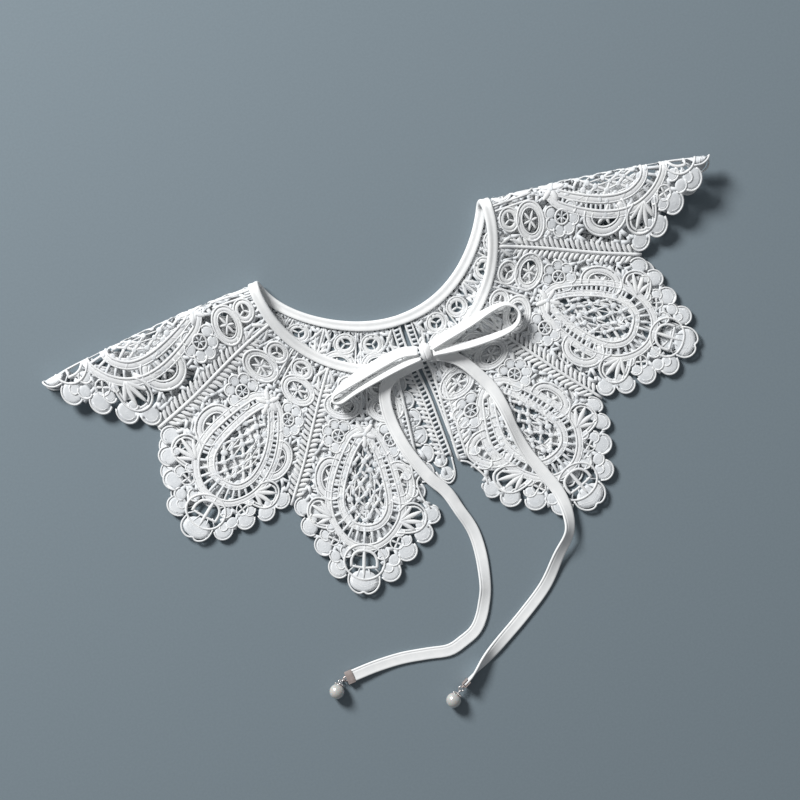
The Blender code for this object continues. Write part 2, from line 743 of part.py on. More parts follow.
def crimp(side, at, way, up, mat):
    """A folded plate that grips the tie's end, with a wire eyelet; gives the eyelet bar's middle."""
    half, slot = CRIMP_THICK / 2.0, CRIMP_SLOT / 2.0
    inner, outer = CRIMP_WEB
    profile = [(CRIMP_BACK, half), (outer, half), (outer, -half), (CRIMP_BACK, -half)]
    profile += [(CRIMP_BACK, -slot), (inner, -slot), (inner, slot), (CRIMP_BACK, slot)]
    rings = []
    for across in (-CRIMP_WIDTH / 2.0, CRIMP_WIDTH / 2.0):
        rings.append(placed([(a, across, t) for a, t in profile], at, way, up))
    plate = sweep("crimp_" + side, rings, mat)
    root = (inner + outer) / 2.0
    loop = [(root, BAR_HALF, 0.0), (BAR_AT, BAR_HALF, 0.0), (BAR_AT, -BAR_HALF, 0.0), (root, -BAR_HALF, 0.0)]
    eyelet = rod("eyelet_" + side, placed(loop, at, way, up), BAR_R, up, mat)
    union(plate, eyelet)
    return at + BAR_AT * way


def drop(side, hook, way, metal, pearl):
    """Bead cap with its eye round the ring's wire at hook, and the pearl beneath it."""
    centre = hook + way * DROP_LENGTH
    outer, inner = PEARL_R + CLEAR + CAP_THICK, PEARL_R + CLEAR
    profile = [(-outer, 0.0)]
    for t in (0.09, 0.3, 0.55, 0.78, 1.0):
        a = math.radians(CAP_REACH * t)
        profile.append((-outer * math.cos(a), outer * math.sin(a)))
    for t in (1.0, 0.78, 0.55, 0.3):
        a = math.radians(CAP_REACH * t)
        profile.append((-inner * math.cos(a), inner * math.sin(a)))
    profile.append((-inner, 0.0))
    cap = turned("bead_cap_" + side, profile, centre, way, 16, metal)
    start = hook + way * (2.0 * EYE_R - RING_WIRE - CLEAR - EYE_WIRE)
    stem = [(0.0, 0.0), (0.0, STEM_R), (DROP_LENGTH, STEM_R), (DROP_LENGTH, 0.0)]
    reach = DROP_LENGTH - (PEARL_R + CLEAR + CAP_THICK / 2.0) - float(np.linalg.norm(start - hook))
    stem = [(ahead / DROP_LENGTH * reach, out) for ahead, out in stem]
    level = np.cross(way, [0.0, 0.0, 1.0])
    level /= np.linalg.norm(level)
    axis = np.cross(level, way) if side == "left" else level
    union(cap, turned("stem_" + side, stem, start, way, 8, metal))
    eye_middle = hook + way * (EYE_R - RING_WIRE - CLEAR - EYE_WIRE)
    union(cap, ring("eye_" + side, eye_middle, axis, EYE_R, EYE_WIRE, metal))
    turns = [math.pi * i / 10.0 for i in range(1, 10)]
    ball = [(-PEARL_R * math.cos(t), PEARL_R * math.sin(t)) for t in turns]
    ball = [(-PEARL_R, 0.0), *ball, (PEARL_R, 0.0)]
    turned("pearl_" + side, ball, centre, way, 16, pearl)


def rising(angle, climb, length):
    """A direction at an angle from +X that climbs by climb over length."""
    up = climb / length
    return level_way(angle) * math.sqrt(1.0 - up * up) + np.array([0.0, 0.0, up])


def tie_ends(left_end, right_end, metal, pearl):
    """Crimps, rings, caps and pearls of both tails."""
    upright = np.array([0.0, 0.0, 1.0])
    near = BAR_R + CLEAR + RING_WIRE
    at, way = left_end
    bar = crimp("left", at, way, upright, metal)
    middle = bar + way * (RING_R - near)
    ring("jump_ring_left", middle, np.cross(way, upright), RING_R, RING_WIRE, metal)
    hook = middle + way * RING_R
    drop("left", hook, rising(LEFT_CAP_AT, PEARL_R - hook[2], DROP_LENGTH), metal, pearl)
    left_hinge = hook
    at, way = right_end
    bar = crimp("right", at, way, np.cross(way, upright), metal)
    middle = bar + level_way(RIGHT_RING_AT) * (RING_R - near)
    ring("jump_ring_right", middle, upright, RING_R, RING_WIRE, metal)
    cap_way = level_way(RIGHT_CAP_AT)
    hook = middle + cap_way * RING_R
    drop("right", hook, rising(RIGHT_CAP_AT, PEARL_R - hook[2], DROP_LENGTH), metal, pearl)
    for name, point in (("left", left_hinge), ("right", bar)):
        place = (point + np.array([NECK_X, NECK_Y, 0.0])) * MM
        print(name, "drop turns about", [round(float(v), 6) for v in place])


def main():
    """Build every node."""
    clear_scene()
    thread = material("lace_thread", (0.86, 0.86, 0.84), 0.75)
    tape = material("satin_tape", (0.88, 0.88, 0.87), 0.6)
    metal = material("silver_metal", (0.78, 0.77, 0.76), 0.25, 1.0)
    pearl = material("pearl", (0.9, 0.87, 0.8), 0.2)
    for side in SIDES:
        lace_half("lace_" + side, side, cut_pattern(side), thread)
    neck_binding(tape)
    knot(tape)
    ribbon("bow_loop_right", RIGHT_LOOP, 34, tape)
    ribbon("bow_loop_left", LEFT_LOOP, 32, tape)
    right_end = ribbon("tie_tail_right", RIGHT_TAIL, 56, tape)
    left_end = ribbon("tie_tail_left", LEFT_TAIL, 62, tape)
    tie_ends(left_end, right_end, metal, pearl)


main()
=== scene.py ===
"""Looks of a white guipure lace collar with a bow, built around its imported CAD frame.

The lace is drawn once for one petal as flat threads, pads and bars, copied to the five petals of each
half, and laid over the same folded surface as the solids. Pattern sizes are millimetres, angles are
degrees, and a finished mesh is metres in the row frame.
"""

from __future__ import annotations

import json
import logging
import math
from dataclasses import dataclass, field
from enum import Enum
from typing import Any, Callable, Iterable, Sequence

import bmesh
import bpy
import numpy as np
from mathutils import Matrix, Vector

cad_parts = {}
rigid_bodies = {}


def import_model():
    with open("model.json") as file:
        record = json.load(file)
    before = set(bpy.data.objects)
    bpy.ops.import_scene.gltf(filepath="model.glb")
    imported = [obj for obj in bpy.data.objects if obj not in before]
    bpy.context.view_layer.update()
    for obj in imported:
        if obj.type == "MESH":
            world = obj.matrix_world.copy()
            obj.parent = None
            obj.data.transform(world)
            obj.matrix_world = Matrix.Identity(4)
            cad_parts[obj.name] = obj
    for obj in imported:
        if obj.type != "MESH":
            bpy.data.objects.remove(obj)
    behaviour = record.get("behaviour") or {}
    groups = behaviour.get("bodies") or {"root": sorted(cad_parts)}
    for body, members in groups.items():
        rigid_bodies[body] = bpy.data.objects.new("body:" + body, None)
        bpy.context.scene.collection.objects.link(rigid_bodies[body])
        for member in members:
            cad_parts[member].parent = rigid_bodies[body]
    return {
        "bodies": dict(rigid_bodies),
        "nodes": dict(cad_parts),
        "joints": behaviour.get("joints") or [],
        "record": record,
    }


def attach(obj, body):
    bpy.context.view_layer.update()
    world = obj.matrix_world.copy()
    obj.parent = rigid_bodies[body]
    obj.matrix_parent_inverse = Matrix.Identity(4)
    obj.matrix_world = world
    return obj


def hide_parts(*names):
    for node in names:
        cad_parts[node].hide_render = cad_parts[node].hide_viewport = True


log = logging.getLogger("collar")

MM = 0.001
NECK_CENTRE = np.array([1.55, 99.55, 0.0])
NECK_R = 72.5
TIP_R = 216.0
VALLEY_R = 172.0
PETAL_PITCH = 33.0
PETAL_AXES = (21.5, 54.5, 87.5, 120.5, 153.5)
FRONT_EDGE_AT = 6.2
BACK_EDGE_AT = 174.1
LACE_THICK = 1.1
LIE_GAP = 0.35
LAYER_STEP = LACE_THICK + LIE_GAP
BIND_WIDTH = 6.4
BIND_THICK = 3.5
QUARTER_UP = (0.0, math.pi / 2.0, 0.0)
QUARTER_DOWN = (0.0, -math.pi / 2.0, 0.0)
Tone = tuple[float, float, float, float]
Rows = Sequence[Sequence[float]]
Piece = bpy.types.Object
Array = np.ndarray
Pair = tuple[float, float]
Triple = tuple[float, float, float]


class Side(Enum):
    """The wearer-side half of the collar, as seen from above."""

    LEFT = "left"
    RIGHT = "right"


def smooth(value: Any, start: float, end: float) -> Any:
    """Go from 0 to 1 between start and end, level at both."""
    t = np.clip((value - start) / (end - start), 0.0, 1.0)
    return t * t * (3.0 - 2.0 * t)


def unit(vector: Sequence[float]) -> Array:
    """The vector at length 1."""
    vector = np.asarray(vector, float)
    return vector / np.linalg.norm(vector)


def spline(rows: Rows, parts: int, closed: bool = False) -> Array:
    """A smooth curve through rows, each span cut in parts; a closed one ends where it starts.

    Args:
        rows: Points, with any further values in later columns.
        parts: How many parts each span is cut in.
        closed: Whether the curve joins its end to its start.

    Returns:
        The curve's rows, its end included.
    """
    rows = np.asarray(rows, float)
    if closed:
        padded = np.vstack([rows[-1], rows, rows[0], rows[1]])
    else:
        padded = np.vstack([2 * rows[0] - rows[1], rows, 2 * rows[-1] - rows[-2]])
    fine = []
    for i in range(len(padded) - 3):
        a, b, c, d = padded[i : i + 4]
        for t in np.linspace(0.0, 1.0, parts, endpoint=False):
            curve = 2 * b + (c - a) * t + (2 * a - 5 * b + 4 * c - d) * t**2
            fine.append(0.5 * (curve + (3 * b - a - 3 * c + d) * t**3))
    fine.append(rows[0] if closed else rows[-1])
    return np.array(fine)


def run_along(points: Array) -> Array:
    """Distance of each point along its path."""
    return np.concatenate([[0.0], np.cumsum(np.linalg.norm(np.diff(points, axis=0), axis=1))])


def resampled(rows: Array, count: int) -> Array:
    """Rows at a number of equal steps along their first three columns.

    Args:
        rows: A fine curve's rows.
        count: How many rows come out.

    Returns:
        The rows at equal steps.
    """
    run = run_along(rows[:, :3])
    at = np.linspace(0.0, run[-1], count)
    return np.stack([np.interp(at, run, column) for column in rows.T], axis=1)


def even_path(rows: Rows, step: float, closed: bool = False) -> Array:
    """A smooth curve through rows, resampled evenly.

    Args:
        rows: Points, with any further values in later columns.
        step: Distance between the points that come out.
        closed: Whether the curve joins its end to its start.

    Returns:
        The resampled rows; a closed curve doesn't repeat its first point.
    """
    fine = spline(rows, 8, closed)
    even = resampled(fine, max(int(round(run_along(fine[:, :3])[-1] / step)) + 1, 3))
    return even[:-1] if closed else even


def sideways(path: Array, closed: bool) -> Array:
    """Unit vectors to the left of a flat path, one at each point.

    Args:
        path: Points (across, out).
        closed: Whether it joins its end to its start.

    Returns:
        One vector for each point.
    """
    if closed:
        ahead = np.roll(path, -1, axis=0) - np.roll(path, 1, axis=0)
    else:
        ahead = np.gradient(path, axis=0)
    ahead /= np.maximum(np.linalg.norm(ahead, axis=1, keepdims=True), 1e-9)
    return np.stack([-ahead[:, 1], ahead[:, 0]], axis=1)


def in_row_frame(places: Array) -> Array:
    """Metres in the row frame, from millimetres about the neck's centre."""
    return (places + NECK_CENTRE) * MM


@dataclass(frozen=True)
class Shoulder:
    """How one half is folded and laid: the same values as the solids have.

    Attributes:
        mirror: -1 for the left half and 1 for the right.
        line: Angle of the fold line.
        distance: How far behind the neck's centre the fold runs.
        lift: How far the wing's tip stands up.
        reach: How much further out the wing's tip lies.
        laid: Rows of pattern angle, turn at the neck, turn further out, turn at the tips and longer
            radius at the tips.
    """

    mirror: float
    line: float
    distance: float
    lift: float
    reach: float
    laid: tuple[tuple[float, ...], ...]


SHOULDERS = {
    Side.LEFT: Shoulder(
        mirror=-1.0,
        line=84.27,
        distance=8.2,
        lift=0.4,
        reach=2.4,
        laid=(
            (6.2, 0.3, 0.3, -1.5, 0.0), (21.5, 0.0, -1.5, -1.5, -1.9), (38.0, 0.0, -2.1, -2.1, -6.0),
            (54.5, 0.0, -4.1, -4.1, -5.0), (71.0, 0.0, -2.7, -2.7, 1.0), (84.0, 0.0, 0.0, 0.0, 0.0),
        ),
    ),
    Side.RIGHT: Shoulder(
        mirror=1.0,
        line=82.43,
        distance=13.5,
        lift=8.5,
        reach=-0.7,
        laid=(
            (6.2, 1.2, -2.2, 0.8, -3.5), (21.5, 0.3, 0.5, 1.1, -3.5), (32.0, 0.1, 0.0, 1.3, -2.0),
            (38.0, 0.0, -0.2, 0.0, 0.6), (54.5, 0.0, -0.1, -0.1, -5.6), (71.0, 0.0, -1.6, -1.6, -4.6),
            (84.0, 0.0, 0.0, 0.0, 0.0),
        ),
    ),
}


# How far the look alone turns the back edge and the front edge of each half, as the photo shows them.
EDGE_TURNS = {Side.LEFT: (2.2, -0.2), Side.RIGHT: (-1.4, -0.6)}


@dataclass(frozen=True)
class FoldedSurface:
    """The middle surface of one laid half: front on top, folded at the shoulder, back beneath."""

    side: Side
    fold_r_neck: float = 5.4
    fold_r_tip: float = 3.6
    bulge: float = 2.8
    closes_at: float = 62.0
    neck_rise: float = 1.2
    rise_over: Pair = (8.6, 18.6)
    ripple: float = 0.9
    ripple_from: Pair = (125.0, 195.0)
    lift_along: Pair = (100.0, 216.0)
    lift_across: float = 80.0
    back_centre: Pair = (3.1, 27.3)
    slit_at: float = 0.9
    settle: Pair = (5.0, 60.0)
    laid_over: Pair = (72.5, 150.0)
    tips_over: Pair = (142.0, 170.0)

    @property
    def shoulder(self) -> Shoulder:
        """The half's own values."""
        return SHOULDERS[self.side]

    def fold_radius(self, radius: Any) -> Any:
        """The fold's radius, by the pattern's radius."""
        share = np.clip((np.asarray(radius, float) - NECK_R) / (TIP_R - NECK_R), 0.0, 1.0)
        return self.fold_r_neck + (self.fold_r_tip - self.fold_r_neck) * share

    def fold_distance(self, radius: Any) -> Any:
        """How far behind the neck's centre the fold line runs in the flat pattern."""
        return self.shoulder.distance + (math.pi / 2.0 - 1.0) * self.fold_radius(radius)

    def fold_angle(self, radius: Any) -> Any:
        """Pattern angle at which a radius meets the fold line."""
        return self.shoulder.line + np.degrees(np.arcsin(self.fold_distance(radius) / radius))

    def behind_scale(self, radius: Any) -> Any:
        """How much the back's angles close up, so that the halves meet at the slit."""
        start = self.fold_angle(radius)
        return (2.0 * self.shoulder.line - start - self.slit_at) / (BACK_EDGE_AT - start)

    def middle(self, radius: Array, angle: Array) -> Array:
        """Lay points of the flat pattern on the middle surface.

        Args:
            radius: Distances from the neck's centre in the flat pattern.
            angle: Angles from the front in the flat pattern.

        Returns:
            Places about the neck's centre, in millimetres.
        """
        own = self.shoulder
        radius, angle = np.broadcast_arrays(np.asarray(radius, float), np.asarray(angle, float))
        fold_r, depth = self.fold_radius(radius), self.fold_distance(radius)
        start = self.fold_angle(radius)
        front = angle <= start
        table = np.array(own.laid)
        near, far, tip, longer = (np.interp(angle, table[:, 0], table[:, i]) for i in (1, 2, 3, 4))
        turn = angle + near + (far - near) * smooth(radius, *self.laid_over)
        turn = turn + (tip - far) * smooth(radius, *self.tips_over) - own.line
        long_radius = radius + longer * (radius - NECK_R) / (TIP_R - NECK_R)
        back_turn = own.line - start - self.behind_scale(radius) * (angle - start)
        along = np.where(
            front, long_radius * np.cos(np.radians(turn)), radius * np.cos(np.radians(back_turn))
        )
        ahead = depth - long_radius * np.sin(np.radians(turn))
        across = np.maximum(np.where(front, ahead, -depth - radius * np.sin(np.radians(back_turn))), 0.0)
        quarter = fold_r * math.pi / 2.0
        arc = np.clip(across / fold_r, 0.0, math.pi / 2.0)
        closing = smooth(across, quarter, self.closes_at)
        width = np.where(across < quarter, fold_r * (1.0 - np.cos(arc)), across - quarter + fold_r)
        low = LACE_THICK / 2.0 + self.neck_rise * (1.0 - smooth(radius - NECK_R, *self.rise_over))
        c, s = math.cos(math.radians(own.line)), math.sin(math.radians(own.line))
        mirrored = 2.0 * self.fold_distance(NECK_R)
        aside = self.back_centre[0] * own.mirror - mirrored * c
        behind = self.back_centre[1] - mirrored * s
        settle = np.where(front, 0.0, smooth(across, *self.settle))
        width = width - settle * (aside * c + behind * s)
        along = along + settle * (aside * s - behind * c)
        wing = smooth(along, *self.lift_along) * (1.0 - smooth(width, 0.0, self.lift_across))
        low = low + own.lift * wing
        apart = LAYER_STEP + (2.0 * fold_r - LAYER_STEP) * (1.0 - closing)
        petal = np.cos(np.radians((angle - PETAL_AXES[0]) * 360.0 / PETAL_PITCH))
        wave = self.ripple * 0.5 * (1.0 + petal) * smooth(radius, *self.ripple_from) * closing
        edge = low + fold_r + np.where(front, 1.0, -1.0) * fold_r * np.sin(arc)
        height = np.where(across < quarter, edge, low + np.where(front, apart + wave, 0.0))
        bow = np.sin(math.pi * np.clip((along - NECK_R) / (TIP_R - NECK_R), 0.0, 1.0))
        outward = own.distance - width + self.bulge * bow * (1.0 - smooth(width, 0.0, self.closes_at))
        along = along + own.reach * wing
        return np.stack([(along * s + outward * c) * own.mirror, outward * s - along * c, height], axis=-1)

    def lay(self, radius: Array, angle: Array, offset: Array) -> Array:
        """Lay points that stand off the middle surface by offset, in metres in the row frame.

        Args:
            radius: Distances from the neck's centre in the flat pattern.
            angle: Angles from the front in the flat pattern.
            offset: How far each point stands off.

        Returns:
            Places in metres.
        """
        step_r, step_a = 0.4, 0.25
        out = self.middle(radius + step_r, angle) - self.middle(radius - step_r, angle)
        turn = self.middle(radius, angle + step_a) - self.middle(radius, angle - step_a)
        normal = np.cross(out, turn)
        normal *= self.shoulder.mirror / np.linalg.norm(normal, axis=-1, keepdims=True)
        return in_row_frame(self.middle(radius, angle) + normal * np.asarray(offset)[..., None])

    def share_behind(self, radius: Array, angle: Array) -> Array:
        """0 on the front layer and 1 on the back layer, blended round the fold."""
        return smooth(angle - self.fold_angle(radius), -1.0, 3.0)


class Threads:
    """Closed pieces of thread gathered in one flat pattern, all of quads.

    A point is (across, out, offset); its uv is (run along the thread, share round it).
    """

    ROUND = ((-0.5, 0.0), (-0.28, 0.5), (0.28, 0.5), (0.5, 0.0), (0.28, -0.5), (-0.28, -0.5))
    SQUARE = ((-0.5, -0.5), (-0.5, 0.5), (0.5, 0.5), (0.5, -0.5))

    def __init__(self) -> None:
        """Start with no pieces."""
        self.points: list[Array] = []
        self.faces: list[Array] = []
        self.uvs: list[Array] = []
        self.raised: list[bool] = []
        self.count = 0

    def _keep(self, points: Array, faces: Array, uvs: Array, raised: bool = False) -> None:
        """Add one closed piece; a raised one is thread over the ground.

        Args:
            points: Its points.
            faces: Four point numbers a face.
            uvs: The uv of each point.
            raised: Whether it is raised thread.
        """
        self.raised.append(raised)
        self.points.append(points)
        self.faces.append(faces + self.count)
        self.uvs.append(uvs)
        self.count += len(points)

    def cord(
        self,
        path: Rows,
        width: float | Sequence[float],
        height: float | Sequence[float],
        lift: float = 0.0,
        closed: bool = False,
        step: float = 2.0,
        plain: bool = False,
    ) -> None:
        """Lay a thread along a path.

        Args:
            path: Points (across, out) that the thread follows.
            width: Width, one number or one for each row of the path.
            height: Thickness, likewise.
            lift: How far its middle stands off the lace's middle.
            closed: Whether it joins its own start.
            step: Distance between its rings; 0 keeps the path's own points.
            plain: Four corners and no smoothing, for a short bar.
        """
        path = np.asarray(path, float)
        size = [np.broadcast_to(given, len(path)) for given in (width, height)]
        rows = np.column_stack([path, np.zeros(len(path)), *size])
        if step > 0.0:
            rows = even_path(rows, step, closed)
        middle = rows[:, :2]
        side = sideways(middle, closed)
        profile = np.array(self.SQUARE if plain else self.ROUND)
        corners = len(profile)
        across = profile[:, 0][None, :] * rows[:, 3:4]
        up = profile[:, 1][None, :] * rows[:, 4:5] + lift
        flat = middle[:, None, :] + side[:, None, :] * across[..., None]
        points = np.concatenate([flat, up[..., None]], axis=2).reshape(-1, 3)
        count = len(rows)
        share = np.tile(np.arange(corners) / corners, count)
        uvs = np.stack([np.repeat(run_along(middle), corners), share], axis=1)
        faces = []
        for i in range(count if closed else count - 1):
            j = (i + 1) % count
            for k in range(corners):
                n = (k + 1) % corners
                faces.append((i * corners + k, j * corners + k, j * corners + n, i * corners + n))
        if not closed:
            last = (count - 1) * corners
            caps = [(0, 1, 2, 3)] if plain else [(0, 1, 4, 5), (1, 2, 3, 4)]
            faces += caps + [tuple(last + k for k in cap[::-1]) for cap in caps]
        self._keep(points, np.array(faces), uvs, raised=not plain)

    def bar(self, start: Sequence[float], end: Sequence[float], width: float, height: float) -> None:
        """Lay a short straight bar."""
        self.cord([start, end], width, height, step=0.0, plain=True)

    def leaf(
        self, start: Sequence[float], end: Sequence[float], width: float, height: float, lift: float = 0.0
    ) -> None:
        """Lay a satin leaf, widest past its middle and pointed at both ends.

        Args:
            start: Its root (across, out).
            end: Its tip.
            width: Its greatest width.
            height: Its greatest thickness.
            lift: How far its middle stands off the lace's middle.
        """
        start, end = np.asarray(start, float), np.asarray(end, float)
        shares = (0.0, 0.12, 0.35, 0.62, 0.85, 1.0)
        swell = np.array((0.25, 0.62, 0.95, 1.0, 0.7, 0.22))
        path = [start + (end - start) * share for share in shares]
        self.cord(path, width * swell, height * (0.55 + 0.45 * swell), lift, step=0.0)

    def pad(
        self, centre: Sequence[float], radii: Sequence[float], turn: float, height: float, lift: float = 0.0
    ) -> None:
        """Lay a domed oval pad.

        Args:
            centre: Its middle.
            radii: Half its size across and along.
            turn: How far it is turned, in degrees.
            height: Its thickness at the middle.
            lift: How far its middle stands off the lace's middle.
        """
        around = 14
        rings = ((1.0, 0.3), (0.72, 0.86), (0.34, 1.0))
        t = math.radians(turn)
        way, side = np.array([math.cos(t), math.sin(t)]), np.array([-math.sin(t), math.cos(t)])
        points, uvs = [], []
        for sign in (1.0, -1.0):
            for share, rise in rings:
                for k in range(around):
                    a = 2.0 * math.pi * k / around
                    flat = np.asarray(centre) + way * (radii[0] * share * math.cos(a))
                    flat = flat + side * (radii[1] * share * math.sin(a))
                    points.append((flat[0], flat[1], lift + sign * rise * height / 2.0))
                    uvs.append((share * radii[1] + 40.0, k / around))
        faces = []
        for layer in (0, 1):
            first = layer * len(rings) * around
            for ring in range(len(rings) - 1):
                for k in range(around):
                    n = (k + 1) % around
                    a, b = first + ring * around, first + (ring + 1) * around
                    quad = (a + k, a + n, b + n, b + k)
                    faces.append(quad if layer == 0 else quad[::-1])
            inner = first + (len(rings) - 1) * around
            for k in range(0, around // 2 - 1):
                quad = (inner + k, inner + k + 1, inner + around - 2 - k, inner + around - 1 - k)
                faces.append(quad if layer == 0 else quad[::-1])
        low = len(rings) * around
        for k in range(around):
            n = (k + 1) % around
            faces.append((k, low + k, low + n, n))
        self._keep(np.array(points), np.array(faces), np.array(uvs))

    def arrays(self) -> tuple[Array, Array, Array, Array]:
        """Points, faces, uvs and the number of each point's piece."""
        own = np.concatenate([np.full(len(p), i) for i, p in enumerate(self.points)])
        return np.concatenate(self.points), np.concatenate(self.faces), np.concatenate(self.uvs), own


def quad_object(name: str, points: Array, faces: Array, uvs: Array) -> Piece:
    """Make a smooth-shaded mesh object of quads with a uv for each point.

    Args:
        name: The object's name.
        points: Places in metres.
        faces: Four point numbers a face.
        uvs: The uv of each point.

    Returns:
        The object.
    """
    mesh = bpy.data.meshes.new(name)
    mesh.vertices.add(len(points))
    mesh.vertices.foreach_set("co", np.ascontiguousarray(points, np.float32).ravel())
    mesh.loops.add(faces.size)
    mesh.loops.foreach_set("vertex_index", np.ascontiguousarray(faces, np.int32).ravel())
    mesh.polygons.add(len(faces))
    mesh.polygons.foreach_set("loop_start", np.arange(0, faces.size, 4, dtype=np.int32))
    mesh.polygons.foreach_set("use_smooth", np.ones(len(faces), bool))
    layer = mesh.uv_layers.new(name="run")
    layer.data.foreach_set("uv", np.ascontiguousarray(uvs[faces.ravel()], np.float32).ravel())
    mesh.update(calc_edges=True)
    mesh.validate()
    obj = bpy.data.objects.new(name, mesh)
    bpy.context.scene.collection.objects.link(obj)
    return obj


def oval(
    centre: Sequence[float], radii: Sequence[float], start: float, end: float, count: int
) -> list[Pair]:
    """Points of an oval arc; 0 degrees points outward along the petal and 90 across it."""
    turns = np.radians(np.linspace(start, end, count))
    return [(centre[0] + radii[0] * math.sin(t), centre[1] + radii[1] * math.cos(t)) for t in turns]


def inset(path: Array, depth: float) -> Array:
    """Move a closed outline inward by depth; it runs clockwise in (across, out)."""
    return path + sideways(path, True) * -depth


def flipped(points: Iterable[Sequence[float]], mirror: float) -> list[Pair]:
    """Points with their across values times mirror."""
    return [(mirror * across, out) for across, out in points]


def spoke(centre: Sequence[float], radii: Sequence[float], turn: float) -> Pair:
    """The point of an oval at a turn in degrees: 0 is outward along the petal and 90 across it."""
    t = math.radians(turn)
    return centre[0] + radii[0] * math.sin(t), centre[1] + radii[1] * math.cos(t)


def within(points: Array, loop: Rows) -> Array:
    """Whether each point lies inside a loop.

    Args:
        points: Points (across, out).
        loop: A closed outline.

    Returns:
        Whether each point is inside.
    """
    loop = np.asarray(loop, float)
    ahead = np.roll(loop, -1, axis=0)
    x, y = points[:, 0:1], points[:, 1:2]
    crosses = (loop[:, 1] > y) != (ahead[:, 1] > y)
    rise = np.where(ahead[:, 1] == loop[:, 1], 1e-9, ahead[:, 1] - loop[:, 1])
    at = loop[:, 0] + (y - loop[:, 1]) * (ahead[:, 0] - loop[:, 0]) / rise
    return (crosses & (x < at)).sum(axis=1) % 2 == 1


def shell(work: Threads, spot: Array, size: Pair, lean: float, span: float) -> None:
    """One lobe of an edge: a thin satin pad, a raised rim on its outer side and two arcs within.

    Args:
        work: Where it is drawn.
        spot: Its middle (across, out).
        size: Half its width and half its length along its lean.
        lean: Which way it faces, in radians from outward.
        span: How far round the rim runs to each side, in degrees.
    """
    way = np.array([math.sin(lean), math.cos(lean)])
    side = np.array([way[1], -way[0]])
    turn = math.degrees(math.atan2(way[1], way[0]))
    work.pad(spot, (size[1] - 0.4, size[0] - 0.4), turn, 0.8, 0.1)
    rings = ((1.0, 1.0, 1.2, 1.5, 0.15), (0.68, 0.7, 0.5, 0.5, 0.3))
    for share, reach, width, height, lift in rings:
        turns = np.radians(np.linspace(-span * reach, span * reach, 9))
        arc = [
            spot + side * (size[0] * share * math.sin(a)) + way * (size[1] * share * math.cos(a))
            for a in turns
        ]
        work.cord(arc, width, height, lift, step=1.6)


